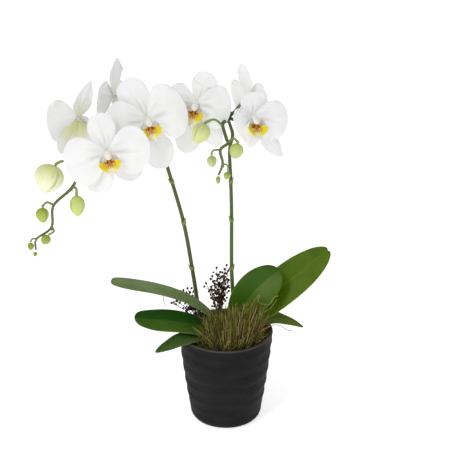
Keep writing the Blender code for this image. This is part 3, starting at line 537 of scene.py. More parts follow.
def noise(material, vector, scale, detail=3.0, stretch=(1.0, 1.0, 1.0), distortion=0.0):
    """A noise texture on the UV map or on the object's own place, stretched."""
    source = node(material, "ShaderNodeTexCoord")
    mapping = node(material, "ShaderNodeMapping", Scale=stretch)
    link(material, source, vector, mapping, "Vector")
    texture = node(material, "ShaderNodeTexNoise", Scale=scale, Detail=detail, Distortion=distortion)
    link(material, mapping, "Vector", texture, "Vector")
    return texture


def ramp(material, source, low, high, first, second):
    """The source's value between low and high, as a number or grey from first to second."""
    made = node(material, "ShaderNodeMapRange")
    made.inputs["From Min"].default_value = low
    made.inputs["From Max"].default_value = high
    made.inputs["To Min"].default_value = first
    made.inputs["To Max"].default_value = second
    link(material, source, 0, made, "Value")
    return made


def tinted(material, shader, darker, amounts):
    """The painted tint, multiplied by each amount, as the base colour."""
    tint = node(material, "ShaderNodeAttribute")
    tint.attribute_name = "Tint"
    last, output = tint, "Color"
    for amount, colour in zip(amounts, darker):
        mix = node(material, "ShaderNodeMix")
        mix.data_type = "RGBA"
        mix.blend_type = "MULTIPLY"
        link(material, amount, 0, mix, 0)
        material.node_tree.links.new(last.outputs[output], mix.inputs[6])
        mix.inputs[7].default_value = (*colour, 1.0)
        last, output = mix, 2
    material.node_tree.links.new(last.outputs[output], shader.inputs["Base Color"])


def add_bump(material, shader, layers):
    """Layers of (height source, distance in metres, strength), one over the other."""
    last = None
    for source, distance, strength in layers:
        made = node(material, "ShaderNodeBump", Strength=strength, Distance=distance)
        link(material, source, 0, made, "Height")
        if last:
            link(material, last, "Normal", made, "Normal")
        last = made
    link(material, last, "Normal", shader, "Normal")


def soak(shader, weight, reach, depth):
    """Light that soaks in: how much, its reach for red, green and blue, and its depth in metres."""
    shader.inputs["Subsurface Weight"].default_value = weight
    shader.inputs["Subsurface Radius"].default_value = reach
    shader.inputs["Subsurface Scale"].default_value = depth


def petal_material():
    material, shader = new_material("petal_white", 0.5, 0.3)
    veins = noise(material, "UV", 1.0, 2.0, (1.6, 26.0, 1.0), 0.5)
    cloud = noise(material, "Object", 60.0, 2.0)
    tinted(
        material, shader, [(0.93, 0.935, 0.93), (0.955, 0.958, 0.957)],
        [ramp(material, veins, 0.52, 0.72, 0.0, 0.55), ramp(material, cloud, 0.4, 0.7, 0.0, 1.0)],
    )
    grain = noise(material, "Object", 1400.0, 2.0)
    add_bump(material, shader, [(veins, 0.0005, 0.35), (grain, 0.0001, 0.25)])
    soak(shader, 0.22, (1.0, 0.95, 0.85), 0.003)
    shader.inputs["Sheen Weight"].default_value = 0.08
    return material


def lip_material():
    material, shader = new_material("lip_flesh", 0.38, 0.45)
    cloud = noise(material, "Object", 500.0, 3.0)
    tinted(material, shader, [(0.9, 0.87, 0.8)], [ramp(material, cloud, 0.5, 0.75, 0.0, 0.6)])
    add_bump(material, shader, [(cloud, 0.0003, 0.5)])
    soak(shader, 0.15, (1.0, 0.9, 0.4), 0.0015)
    return material


def leaf_material(leaf):
    material, shader = new_material(f"{leaf.name}_wax", 0.4, 0.1 + 0.3 * leaf.sheen)
    veins = noise(material, "UV", 1.0, 2.0, (1.5, 60.0, 1.0), 0.2)
    cloud = noise(material, "Object", 38.0, 4.0)
    speck = noise(material, "Object", 260.0, 3.0)
    tinted(
        material, shader, [(0.80, 0.86, 0.72), (0.72, 0.80, 0.66), (1.12, 1.10, 0.8)],
        [
            ramp(material, veins, 0.48, 0.7, 0.0, 0.6),
            ramp(material, cloud, 0.42, 0.68, 0.0, 0.9),
            ramp(material, speck, 0.6, 0.75, 0.0, 0.7),
        ],
    )
    add_bump(material, shader, [(veins, 0.0006, 0.35), (cloud, 0.002, 0.2), (speck, 0.0002, 0.3)])
    rough = ramp(material, cloud, 0.3, 0.7, 0.34, 0.5)
    link(material, rough, 0, shader, "Roughness")
    shader.inputs["Coat Weight"].default_value = leaf.sheen
    shader.inputs["Coat Roughness"].default_value = 0.3
    soak(shader, 0.06, (0.5, 1.0, 0.2), 0.002)
    return material


def plain_material(name, roughness, scale, depth, shade, specular):
    """A tinted skin with one cloud of noise for colour and relief."""
    material, shader = new_material(name, roughness, specular)
    cloud = noise(material, "Object", scale, 4.0)
    tinted(material, shader, [shade], [ramp(material, cloud, 0.4, 0.7, 0.0, 1.0)])
    add_bump(material, shader, [(cloud, depth, 0.6)])
    return material


def stem_material():
    material, shader = new_material("stem_skin", 0.42, 0.4)
    lines = noise(material, "UV", 1.0, 2.0, (0.7, 9.0, 1.0))
    cloud = noise(material, "Object", 130.0, 4.0)
    tinted(
        material, shader, [(0.76, 0.82, 0.70), (0.72, 0.66, 0.56)],
        [ramp(material, lines, 0.45, 0.7, 0.0, 0.7), ramp(material, cloud, 0.52, 0.72, 0.0, 0.8)],
    )
    add_bump(material, shader, [(lines, 0.0006, 0.3), (cloud, 0.0004, 0.35)])
    return material


def bud_material():
    material, shader = new_material("bud_skin", 0.42, 0.4)
    lines = noise(material, "UV", 1.0, 2.0, (3.0, 26.0, 1.0), 0.3)
    cloud = noise(material, "Object", 160.0, 3.0)
    tinted(
        material, shader, [(0.86, 0.90, 0.72), (0.88, 0.90, 0.80)],
        [ramp(material, lines, 0.48, 0.7, 0.0, 0.7), ramp(material, cloud, 0.5, 0.75, 0.0, 0.8)],
    )
    add_bump(material, shader, [(lines, 0.0007, 0.35)])
    soak(shader, 0.15, (0.8, 1.0, 0.4), 0.003)
    return material


def pot_material():
    material, shader = new_material("pot_glaze", 0.7, 0.1)
    cloud = noise(material, "Object", 28.0, 4.0, (1.0, 1.0, 2.2))
    grain = noise(material, "Object", 900.0, 3.0)
    tinted(
        material, shader, [(0.72, 0.72, 0.74), (0.8, 0.8, 0.8)],
        [ramp(material, cloud, 0.4, 0.7, 0.0, 1.0), ramp(material, grain, 0.45, 0.7, 0.0, 0.8)],
    )
    rough = ramp(material, cloud, 0.3, 0.7, 0.6, 0.78)
    link(material, rough, 0, shader, "Roughness")
    add_bump(material, shader, [(cloud, 0.0012, 0.25), (grain, 0.00012, 0.35)])
    return material


# ---------------------------------------------------------------- tepals


def flower_matrix(flower):
    """The flower's frame: X to its viewer's right, Y up its face, Z the way it faces."""
    azimuth = math.radians(flower.azimuth)
    rise = math.radians(flower.elevation)
    facing = Vector((math.sin(azimuth) * math.cos(rise), -math.cos(azimuth) * math.cos(rise), math.sin(rise)))
    right = Vector((0.0, 0.0, 1.0)).cross(facing).normalized()
    up = facing.cross(right)
    turn = Matrix((right, up, facing)).transposed().to_4x4()
    roll = Matrix.Rotation(math.radians(flower.roll), 4, "Z")
    return Matrix.Translation(Vector(flower.middle) * MM) @ turn @ roll


def round_ended(s, u, peak, start, full, widening=1.0):
    """A square grid drawn into a blade's outline: the share along it and across it.

    It widens from start to the peak, then ends in an ellipse, which full makes blunter or more pointed.
    """
    far = np.clip((s - peak) / (1.0 - peak), 0.0, 1.0)
    x = far * np.sqrt(1.0 - 0.5 * u * u)
    y = u * np.sqrt(1.0 - 0.5 * far * far)
    turn = np.arctan2(np.abs(y), x)
    swell = (np.cos(turn) ** full + np.sin(turn) ** full) ** (-1.0 / full)
    widen = start + (1.0 - start) * np.sin(0.5 * math.pi * np.clip(s / peak, 0.0, 1.0)) ** widening
    along = np.where(s < peak, s, peak + (1.0 - peak) * x * swell)
    across = np.where(s < peak, u * widen, y * swell)
    return along, across


def tepal_points(blade, base, s, u, side, seed):
    """The middle surface of a tepal in its flower's frame."""
    angle, lean, twist = (math.radians(value) for value in (blade.angle, blade.lean, blade.twist))
    axis = np.array((math.cos(angle) * math.cos(lean), math.sin(angle) * math.cos(lean), math.sin(lean)))
    flat = side * np.array((-math.sin(angle), math.cos(angle), 0.0))
    across = flat * math.cos(twist) + np.cross(axis, flat) * math.sin(twist)
    normal = unit(side * np.cross(axis, across))
    along, out = round_ended(s, u, blade.peak, blade.claw / blade.half_width, blade.full, blade.widening)
    wave = np.sin(2.0 * math.pi * (1.35 * s + 0.13 * seed) + 1.5 * u)
    wave += 0.6 * np.sin(2.0 * math.pi * (2.9 * s + 0.37 * seed))
    height = blade.bulge * (1.0 - out * out) * np.sin(math.pi * along) + blade.curl * along**2
    height += blade.ruffle * wave * np.abs(u) ** 3 * smooth_step(s / 0.4)
    height += 0.5 * blade.ruffle * np.sin(5.0 * u + seed) * bump(s, 0.62, 0.4)
    height -= blade.crease * ridge(u, 0.0, 0.07) * bump(s, 0.5, 0.5)
    height -= 0.5 * blade.crease * ridge(np.abs(u), 0.42, 0.11) * bump(s, 0.34, 0.34)
    height += blade.fold * smooth_step((along - 0.56) / 0.05) - blade.fold * smooth_step((along - 0.6) / 0.4)
    return (
        np.asarray(base)
        + axis * (blade.length * along)[..., None]
        + across * (blade.half_width * out)[..., None]
        + normal * height[..., None]
    )


PETAL_WHITE = tone(250, 250, 250)
PETAL_SHADE = tone(214, 216, 212)
BASE_GREEN = tone(222, 226, 178)
SEPAL_GREEN = tone(214, 214, 148)


def add_tepal(shape, blade, base, side, seed, back_tint, petal):
    """One tepal as a thin sheet, grooved near its base with painted shade along the grooves, its back tinted
    towards the stalk.
    """
    s, u = sheet(46, 37) if petal else sheet(40, 25)
    points = tepal_points(blade, base, s, u, side, seed)
    thickness = 0.35 + 0.75 * (1.0 - np.abs(u) ** 2) * (1.0 - 0.7 * s)
    # Painted shade: grey painted along the middle crease and the side creases near the base, where shade
    # falls.
    crease_shade = 0.8 * ridge(u, 0.0, 0.10) * bump(s, 0.30, 0.34)
    crease_shade += 0.35 * ridge(np.abs(u), 0.42, 0.12) * bump(s, 0.28, 0.26)
    shade = mixed(PETAL_WHITE, PETAL_SHADE, np.clip(crease_shade, 0.0, 1.0))
    front = mixed(shade, BASE_GREEN, 0.55 * smooth_step(1.0 - s / 0.16) * (1.0 - 0.5 * np.abs(u)))
    reach = 0.35 + 0.75 * back_tint
    back = mixed(PETAL_WHITE, SEPAL_GREEN, min(1.0, 0.15 + back_tint) * smooth_step(1.0 - s / reach))
    tint = (front, back) if side > 0 else (back, front)
    uv = np.stack([s, 0.5 + 0.5 * u], -1)
    shape.slab(points, thickness, uv, tint)


def add_tepals(flower, number, material):
    place = flower_matrix(flower)
    petals = Shape()
    add_tepal(petals, flower.left_petal, (0.0, 0.0, 0.0), -1.0, 2.0 + number, 0.0, True)
    add_tepal(petals, flower.right_petal, (0.0, 0.0, 0.0), 1.0, 5.0 + number, 0.0, True)
    sepals = Shape()
    seat, tint = LATERAL_SEPAL_SEAT, flower.back_tint
    add_tepal(sepals, flower.left_sepal, seat, -1.0, 1.0 + 2.0 * number, tint, False)
    add_tepal(sepals, flower.right_sepal, seat, 1.0, 3.0 + 2.0 * number, tint, False)
    dorsal = Shape()
    add_tepal(dorsal, flower.dorsal, DORSAL_SEPAL_SEAT, 1.0, 4.0 + number, 0.4 * tint, False)
    for shape, part in ((petals, "petals"), (sepals, "lateral_sepals"), (dorsal, "dorsal_sepal")):
        slot = f"{flower.name}_{part}"
        shape.made(f"{slot}_shape", slot, material, [slot], place)


# ---------------------------------------------------------------- lips and columns


LIP_YELLOW = tone(244, 226, 14)
LIP_AMBER = tone(224, 156, 34)
LIP_BROWN = tone(146, 66, 24)
LIP_PINK = tone(238, 198, 176)
LIP_PALE = tone(246, 238, 190)
LIP_WHITE = tone(250, 249, 246)
LIP_LILAC = tone(228, 220, 222)


def striped(base, line, u, s, count, width, fade):
    """Thin lines running along, painted over the base."""
    wave = np.cos(math.pi * count * u + 0.9 * np.sin(7.0 * s + 2.0 * u))
    return mixed(base, line, smooth_step((wave - width) / 0.25) * fade)


def middle_lobe(shape, size):
    """The lip's anchor-shaped middle lobe: it slopes forward and down, with a broad fluke each side."""
    s, u = sheet(44, 41)
    fluke = np.sqrt(np.clip(1.0 - ((s - 0.5) / 0.31) ** 2, 0.0, 1.0))
    half = 3.2 + 10.2 * fluke + 2.6 * bump(s, 0.88, 0.2)
    half = half * np.sqrt(np.clip(1.0 - (np.clip(s - 0.88, 0.0, 1.0) / 0.125) ** 2, 0.05, 1.0))
    start, length = math.radians(38.0), 23.0
    fall = start + math.radians(30.0) * s
    y = -7.5 - length * s * np.sin(0.5 * (fall + start))
    z = 4.0 + length * s * np.cos(0.5 * (fall + start))
    lift = 4.2 * fluke * np.abs(u) ** 2.2 + 1.5 * ridge(u, 0.0, 0.2) * bump(s, 0.3, 0.3)
    lift += 0.5 * np.sin(14.0 * u + 3.0) * smooth_step((s - 0.8) / 0.2)
    x = half * u
    points = np.stack([x, y + lift * np.cos(fall) + 1.6 * fluke * u * u, z + lift * np.sin(fall)], -1) * size
    between_flukes = smooth_step((s - 0.5) / 0.1) * smooth_step((5.0 - np.abs(x)) / 2.5)
    colour = mixed(LIP_YELLOW, LIP_PALE, np.maximum(smooth_step((s - 0.7) / 0.16), between_flukes))
    colour = mixed(colour, LIP_WHITE, 0.9 * smooth_step((s - 0.8) / 0.14))
    core = np.clip(1.35 * bump(s, 0.3, 0.42) * np.exp(-((x / 6.6) ** 4)), 0.0, 1.0)
    colour = mixed(colour, LIP_AMBER, core)
    colour = striped(colour, LIP_BROWN, x / 6.5, s, 5.0, 0.05, 0.9 * core)
    shape.slab(points, 0.8, np.stack([s, u], -1), colour)
    end = points[-1, 20]
    t = np.linspace(0.0, 1.0, 12)
    wave = np.sin(4.2 * t)
    for side in (-1.0, 1.0):
        across = side * (1.4 + 2.6 * t + wave)
        tendril = np.stack([across, -0.4 - 1.6 * t - 0.9 * wave, -0.6 + 2.4 * np.sin(4.62 * t) * t], -1)
        shape.tube(end + tendril * size, (0.55 - 0.35 * t) * size, 6, LIP_WHITE)


def side_lobes(shape, size):
    """The two lobes that rise from the lip's sides and arch in over the column, white above a yellow base."""
    t, w = sheet(34, 19)
    along, out = round_ended(t, w, 0.6, 0.5, 2.3)
    turn = np.radians(-112.0 + 190.0 * along)
    reach = 6.0 + 1.5 * out + 0.7 * along
    for side in (-1.0, 1.0):
        x = side * (4.9 + reach * np.cos(turn))
        y = -8.8 + 1.08 * reach * np.sin(turn)
        z = 8.4 + 4.6 * out + 2.4 * along
        outer = mixed(LIP_YELLOW, LIP_WHITE, smooth_step((along - 0.12) / 0.16))
        inner = mixed(LIP_YELLOW, LIP_LILAC, smooth_step((along - 0.24) / 0.2))
        rim = smooth_step((np.abs(out) - 0.55) / 0.4) * smooth_step((along - 0.3) / 0.1)
        inner = mixed(inner, LIP_WHITE, rim)
        inner = striped(inner, LIP_BROWN, out, along, 4.0, 0.2, 0.75 * smooth_step(1.0 - along / 0.5))
        tints = (outer, inner) if side > 0.0 else (inner, outer)
        shape.slab(np.stack([x, y, z], -1) * size, 0.6, np.stack([t, w], -1), tints)


def lump(shape, centre, radii, size, colour):
    """One smooth lump of the lip's crest."""
    rise, turn = rings(9, 14, gap=0.04)
    ring = np.sin(math.pi * rise)
    ball = np.stack([ring * np.cos(turn), ring * np.sin(turn), -np.cos(math.pi * rise)], -1)
    points = (np.asarray(centre) + ball * radii) * size
    shape.add(points, ring_faces(9, 14), (0.0, 0.0), colour)


def crest(shape, size):
    """The orange crest where the lobes meet, with a pinkish knob each side."""
    lump(shape, (0.0, -11.2, 9.2), (1.9, 3.4, 1.9), size, LIP_AMBER * 0.85)
    for side in (-1.0, 1.0):
        lump(shape, (side * 4.3, -13.6, 11.2), (1.7, 1.5, 1.6), size, LIP_PINK)
        lump(shape, (side * 2.3, -9.6, 9.8), (1.2, 2.2, 1.5), size, LIP_BROWN)


def column_points(rise, turn, size):
    """The column: a nodding club with a rounded cap, hollowed underneath towards its end."""
    forward = 0.4 + 13.0 * rise
    cap = 4.0 * np.sqrt(np.clip(1.0 - ((rise - 0.8) / 0.205) ** 2, 0.0, 1.0))
    ring = np.where(rise < 0.8, 2.5 + 1.5 * smooth_step((rise - 0.25) / 0.5), cap)
    hollow = 1.0 - 0.62 * bump(rise, 0.74, 0.2) * np.clip(-np.sin(turn), 0.0, 1.0) ** 2
    waist = 1.0 - 0.1 * bump(rise, 0.8, 0.04)
    x = 1.1 * ring * np.cos(turn) * hollow * waist
    y = 1.2 + ring * np.sin(turn) * hollow * waist - COLUMN_NOD * forward**2
    return np.stack([x, y, forward], -1) * size


def add_lip_and_column(flower, lip_skin):
    place = flower_matrix(flower)
    lip = Shape()
    middle_lobe(lip, flower.lip_size)
    side_lobes(lip, flower.lip_size)
    crest(lip, flower.lip_size)
    slot = f"{flower.name}_lip"
    lip.made(f"{slot}_shape", slot, lip_skin, [slot], place)
    column = Shape()
    rise, turn = rings(30, 24)
    points = column_points(rise, turn, flower.lip_size)
    # Under its cap the column is painted a dimmed lilac: partly its own lilac, partly painted shade in the
    # hollow.
    under = np.clip(-np.sin(turn), 0.0, 1.0)
    colour = mixed(LIP_WHITE, LIP_LILAC * 0.8, 0.85 * bump(rise, 0.72, 0.2) * under)
    colour = mixed(colour, tone(240, 232, 196), 0.5 * smooth_step((rise - 0.86) / 0.1))
    column.add(points, ring_faces(30, 24), (0.0, 0.0), colour.reshape(-1, 3))
    slot = f"{flower.name}_column"
    column.made(f"{slot}_shape", slot, lip_skin, [slot], place)


# ---------------------------------------------------------------- leaves


def leaf_points(leaf, s, u):
    """The middle surface of a leaf: a bend through its four places, folded along its midrib."""
    along, out = round_ended(s, u, leaf.peak, leaf.root_half_width / leaf.half_width, leaf.full)
    along = along - leaf.notch / 160.0 * ridge(u, 0.0, 0.12) * smooth_step((s - 0.9) / 0.1)
    a, b, c, d = (np.array(place) for place in (leaf.root, leaf.first_pull, leaf.second_pull, leaf.tip))
    t = along[..., None]
    r = 1.0 - t
    place = a * r**3 + b * (3.0 * r * r * t) + c * (3.0 * r * t * t) + d * t**3
    heading = unit((b - a) * (r * r) + (c - b) * (2.0 * r * t) + (d - c) * (t * t))
    level = unit(np.cross((0.0, 0.0, 1.0), heading))
    level = np.where(level[..., 1:2] < 0.0, -level, level)
    roll = np.radians(leaf.root_roll + (leaf.tip_roll - leaf.root_roll) * s)[..., None]
    x, y, z = heading[..., 0], heading[..., 1], heading[..., 2]
    up = unit(np.stack([-x * z, -y * z, 1.0 - z * z], -1))
    across = level * np.cos(roll) + up * np.sin(roll)
    normal = up * np.cos(roll) - level * np.sin(roll)
    fold = np.sqrt(out * out + 0.006) - 0.077
    rise = leaf.fold * 1.6 * fold * (1.0 - 0.5 * np.abs(out)) * np.sin(math.pi * np.minimum(0.95, s + 0.1))
    rise += 0.5 * np.sin(9.0 * s + 2.0) * np.abs(u) ** 3
    rise -= 0.55 * ridge(u, 0.0, 0.05) * bump(s, 0.45, 0.5)
    return place + across * (leaf.half_width * out)[..., None] + normal * rise[..., None]


def add_leaf(leaf):
    """A leaf as a thin sheet, with a pale midrib and edge, light and shade painted on its far half, and
    duller underneath.
    """
    shape = Shape()
    s, u = sheet(90, 41)
    points = leaf_points(leaf, s, u)
    thickness = 0.5 + 1.7 * np.sqrt(np.clip(1.0 - u**4, 0.0, 1.0)) * (1.0 - 0.35 * s)
    # Painted light and shade: the half beyond the midrib takes its own colour, darker or lighter as the fold
    # turns it.
    top = mixed(tone(*leaf.top), tone(*leaf.far_half_light_and_shade), smooth_step(0.5 + 3.0 * u))
    pale = mixed(top, tone(*leaf.top) * 1.5 + 0.02, 0.55 * ridge(u, 0.0, 0.035) * (1.0 - 0.3 * s))
    edge = mixed(pale, tone(150, 168, 84), 0.55 * smooth_step((np.abs(u) - 0.94) / 0.06))
    # Paler towards the root: partly the leaf's own pale base, partly a painted sheen.
    pale_root_and_sheen = mixed(edge, tone(150, 160, 96), 0.6 * smooth_step(1.0 - s / 0.16))
    tip = mixed(pale_root_and_sheen, tone(84, 84, 44), 0.5 * smooth_step((s - 0.985) / 0.015))
    under = mixed(tone(*leaf.under), tone(140, 150, 100), 0.4 * smooth_step(1.0 - s / 0.2))
    facing_up = np.cross(points[45, 20] - points[44, 20], points[44, 21] - points[44, 20])[2] > 0.0
    tints = (tip, under) if facing_up else (under, tip)
    shape.slab(points, thickness, np.stack([s, 0.5 + 0.5 * u], -1), tints)
    shape.made(f"{leaf.name}_shape", leaf.name, leaf_material(leaf), [leaf.name])


# ---------------------------------------------------------------- spikes


OLIVE = tone(88, 100, 44)
DARK_STEM = tone(66, 84, 28)
PALE_STEM = tone(140, 146, 78)
GREY_STEM = tone(112, 122, 68)
SCALE_BROWN = tone(150, 140, 92)


def behind(flower, distance):
    """The place this far behind a flower's middle, in millimetres."""
    return np.array(flower_matrix(flower) @ (Vector((0.0, -1.0, -distance)) * MM)) / MM


def pedicel(flower, start, by_way, full=1.0, straight=10.0):
    """Places and radii from the stem to just behind the flower, coming in square to its back."""
    return [
        (*start, 0.6 * full),
        (*by_way, 0.52 * full),
        (*behind(flower, straight), 0.5 * full),
        (*behind(flower, 2.2), 0.82),
    ]


def add_stalk(shape, places, steps, first, last, sides=14):
    """A stalk through (x, y, z, share of the stem's radius)."""
    path = rounded(places, steps)
    share = np.linspace(0.0, 1.0, len(path))
    shape.tube(path[:, :3], path[:, 3] * STEM_RADIUS, sides, mixed(first, last, share))


def add_scale(shape, place, axis, outward, length, radius):
    """A small pointed bract that hugs the stem just under a joint."""
    axis, outward = unit(np.asarray(axis, float)), np.asarray(outward, float)
    outward = unit(outward - axis * np.dot(outward, axis))
    side = np.cross(axis, outward)
    s, u = sheet(10, 9)
    wrap = 1.25 * u * (1.0 - s**1.6)
    reach = radius * (1.12 + 0.45 * s * s)
    points = (
        np.asarray(place, float)
        + axis * (length * s)[..., None]
        + outward * (reach * np.cos(wrap))[..., None]
        + side * (reach * np.sin(wrap))[..., None]
    )
    colour = mixed(PALE_STEM, SCALE_BROWN, smooth_step(s))
    shape.slab(points, 0.35, np.stack([s, u], -1), colour)


def stem_at(stem, height):
    """The place, heading and radius of a rising stem at this height."""
    path = rounded(stem, 8)
    i = int(np.argmin(np.abs(path[:60, 2] - height)))
    return path[i, :3], path[min(i + 1, len(path) - 1), :3] - path[i - 1, :3], path[i, 3] * STEM_RADIUS


def add_node_ring(shape, stem, height, side):
    """A swollen ring round a rising stem with a dry scale over a dormant bud."""
    place, heading, radius = stem_at(stem, height)
    axis = unit(heading)
    t = np.linspace(-1.0, 1.0, 9)
    path = place + axis * (3.4 * t)[:, None]
    shape.tube(path, radius * (1.0 + 0.3 * (1.0 - t * t)), 14, mixed(OLIVE, PALE_STEM, 1.0 - np.abs(t)))
    add_scale(shape, place - axis * 1.0, axis, (side, -0.5, 0.1), 9.5, radius * 1.22)


def add_spikes(material):
    flowers = {flower.name: flower for flower in FLOWERS}
    buds = {bud.name: bud.top for bud in BUDS}
    left = Shape()
    path = rounded(LEFT_STEM, 8)
    share = np.clip((path[:, 2] - 100.0) / 240.0, 0.0, 1.0)
    beyond = smooth_step((-150.0 - path[:, 0]) / 30.0)
    colour = mixed(mixed(DARK_STEM, OLIVE, share), GREY_STEM, 0.7 * beyond)
    left.tube(path[:, :3], path[:, 3] * STEM_RADIUS, 16, colour)
    for flower_name, start, by_way in (
        ("flower_4", (-104.0, 15.0, 424.0), (-103.0, 6.0, 438.0)),
        ("flower_3", (-152.0, -1.0, 424.0), (-151.0, -24.0, 424.0)),
        ("flower_1", (-160.0, -6.0, 414.0), (-166.0, -6.0, 428.0)),
        ("flower_2", (-122.0, 11.0, 435.0), (-130.0, 15.0, 450.0)),
    ):
        add_stalk(left, pedicel(flowers[flower_name], start, by_way), 8, OLIVE, LIP_WHITE * 0.85)
    for places in (
        [
            (-184.0, -14.5, 381.0, 0.66),
            (-196.0, -20.0, 388.0, 0.62),
            (-212.0, -24.0, 389.5, 0.62),
            (*buds["bud_left_1"], 0.8),
        ],
        [(-200.5, -18.0, 351.5, 0.62), (-195.5, -20.5, 350.5, 0.56), (*buds["bud_left_2"], 0.72)],
        [(-225.5, -20.0, 326.5, 0.56), (-234.0, -25.0, 333.0, 0.52), (*buds["bud_left_3"], 0.66)],
        [(-230.3, -21.0, 297.0, 0.5), (-227.5, -24.0, 291.0, 0.46), (*buds["bud_left_4"], 0.58)],
        [(-250.5, -24.0, 280.5, 0.42), (-256.0, -27.0, 281.5, 0.4), (*buds["bud_left_5"], 0.46)],
    ):
        add_stalk(left, places, 8, GREY_STEM, tone(150, 168, 76))
    for place, outward in (
        ((-184.5, -14.5, 381.0), (1.0, -0.3, 0.2)),
        ((-201.5, -18.0, 350.5), (1.0, -0.4, 0.4)),
        ((-226.5, -20.0, 326.0), (-0.3, -0.5, 1.0)),
        ((-230.5, -21.0, 296.0), (0.9, -0.5, 0.2)),
        ((-251.0, -24.0, 280.0), (-0.6, -0.5, 0.8)),
    ):
        add_scale(left, place, (-0.25, -0.1, -0.9), outward, 5.5, 1.35)
    for height, side in zip(NODE_HEIGHTS, (-1.0, 1.0, -1.0)):
        add_node_ring(left, LEFT_STEM, height, side)
    left.made("spike_left_shape", "spike_left", material, ["spike_left"])
    right = Shape()
    path = rounded(RIGHT_STEM, 8)
    # Painted shade: the right stem is painted darker towards its top.
    share = np.clip((path[:, 2] - 100.0) / 300.0, 0.0, 1.0)
    right.tube(path[:, :3], path[:, 3] * STEM_RADIUS, 16, mixed(tone(96, 122, 52), DARK_STEM, share))
    add_stalk(right, HANGING_STEM, 8, DARK_STEM, GREY_STEM)
    for flower_name, start, by_way, straight in (
        ("flower_5", (5.0, 11.0, 430.0), (-18.0, 26.0, 447.0), 10.0),
        ("flower_6", (5.0, 9.5, 437.0), (15.0, -2.0, 438.0), 10.0),
        ("flower_7", (5.5, 9.0, 440.0), (15.0, 10.5, 450.0), 7.0),
    ):
        add_stalk(right, pedicel(flowers[flower_name], start, by_way, 1.3, straight), 8, DARK_STEM, PALE_STEM)
    for places in (
        [(-3.0, -16.0, 434.0, 0.6), (-14.0, -30.0, 448.0, 0.52), (*buds["bud_right_1"], 0.72)],
        [(3.0, -26.0, 416.0, 0.56), (10.0, -29.0, 422.5, 0.52), (*buds["bud_right_2"], 0.64)],
        [(-7.0, -30.0, 407.5, 0.48), (-16.0, -34.0, 408.0, 0.44), (*buds["bud_right_3"], 0.58)],
        [(-4.5, -31.5, 389.0, 0.42), (2.0, -32.0, 387.0, 0.38), (*buds["bud_right_4"], 0.48)],
    ):
        add_stalk(right, places, 8, GREY_STEM, tone(150, 168, 84))
    for place, outward in (
        ((3.0, -26.0, 415.0), (1.0, -0.4, 0.2)),
        ((-7.0, -30.0, 407.0), (-0.8, -0.4, 0.5)),
        ((-4.0, -31.0, 389.0), (0.8, -0.5, 0.2)),
        ((9.0, 16.0, 412.0), (1.0, -0.4, 0.1)),
    ):
        add_scale(right, place, (0.0, -0.1, -0.95), outward, 5.5, 1.4)
    for height, side in zip(NODE_HEIGHTS, (1.0, -1.0, 1.0)):
        add_node_ring(right, RIGHT_STEM, height, side)
    right.made("spike_right_shape", "spike_right", material, ["spike_right"])


# ---------------------------------------------------------------- buds


def add_bud(bud, number, material):
    """An egg of three sepals that meet in seams, pointed where they close."""
    shape = Shape()
    rise, turn = rings(30, 48)
    z = np.cos(math.pi * rise)
    ring = np.sin(math.pi * rise)
    around = turn + 0.5 * number
    seam = np.exp(-((np.mod(around, 2.0 * math.pi / 3.0) - math.pi / 3.0) / 0.085) ** 2)
    lobe = 0.05 * np.cos(3.0 * around)
    full = (1.0 - 0.075 * seam * ring - lobe * ring) * (1.0 + 0.15 * z - 0.04 * z * z)
    point = 1.0 + 0.25 * np.clip(-z - 0.8, 0.0, 1.0)
    radius = 0.5 * bud.width * ring * full
    points = np.stack([radius * np.cos(turn), radius * np.sin(turn), 0.5 * bud.length * z * point], -1)
    colour = mixed(tone(*bud.base), tone(*bud.tip), smooth_step((rise - 0.12) / 0.6))
    colour = mixed(colour, tone(*bud.base) * 0.62, 0.8 * seam * ring)
    colour = mixed(colour, tone(138, 146, 60), 0.65 * smooth_step((rise - 0.93) / 0.07))
    colour = mixed(colour, tone(128, 150, 56), 0.6 * smooth_step(1.0 - rise / 0.12))
    uv = np.stack([rise, turn / (2.0 * math.pi)], -1).reshape(-1, 2)
    shape.add(points, ring_faces(30, 48), uv, colour.reshape(-1, 3))
    aim = Vector(bud.points).normalized()
    spin = (-aim).to_track_quat("Z", "Y").to_matrix().to_4x4()
    centre = Vector(bud.top) + aim * (0.5 * bud.length + 0.8)
    shape.made(f"{bud.name}_shape", bud.name, material, [bud.name], Matrix.Translation(centre * MM) @ spin)


# ---------------------------------------------------------------- pot, bark, moss and berries


def turned(shape, profile, steps, colours, ripple=None):
    """Rings of (radius, height) turned about Z, closed by flat ends, with a colour for each."""
    radius, height = (np.array(column, float)[:, None] for column in zip(*profile))
    turn = np.linspace(0.0, 2.0 * math.pi, steps, endpoint=False)
    if ripple:
        radius = radius + ripple(radius, height, turn)
    points = np.broadcast_arrays(radius * np.cos(turn), radius * np.sin(turn), height)
    tints = np.repeat(colours, steps, axis=0)
    shape.add(np.stack(points, -1), ring_faces(len(profile), steps), (0.0, 0.0), tints)


def pot_outer_radius(height):
    """The pot's outer wall, from the foot's rounding to the rim."""
    rise = np.clip(height / POT_LOW_HEIGHT, 0.0, 1.0)
    share = np.clip((height - POT_LOW_HEIGHT) / (POT_HEIGHT - POT_LOW_HEIGHT), 0.0, 1.0)
    foot = POT_FOOT_RADIUS + (POT_LOW_RADIUS - POT_FOOT_RADIUS) * np.sqrt(rise * (2.0 - rise))
    return foot + (POT_RIM_RADIUS - POT_LOW_RADIUS) * share + POT_BELLY * np.sin(math.pi * share)


def pot_inner_radius(share):
    """The pot's inner wall, at a share of the way from its floor to its rim."""
    return POT_INNER_FOOT + (POT_RIM_RADIUS - POT_WALL - POT_INNER_FOOT) * share


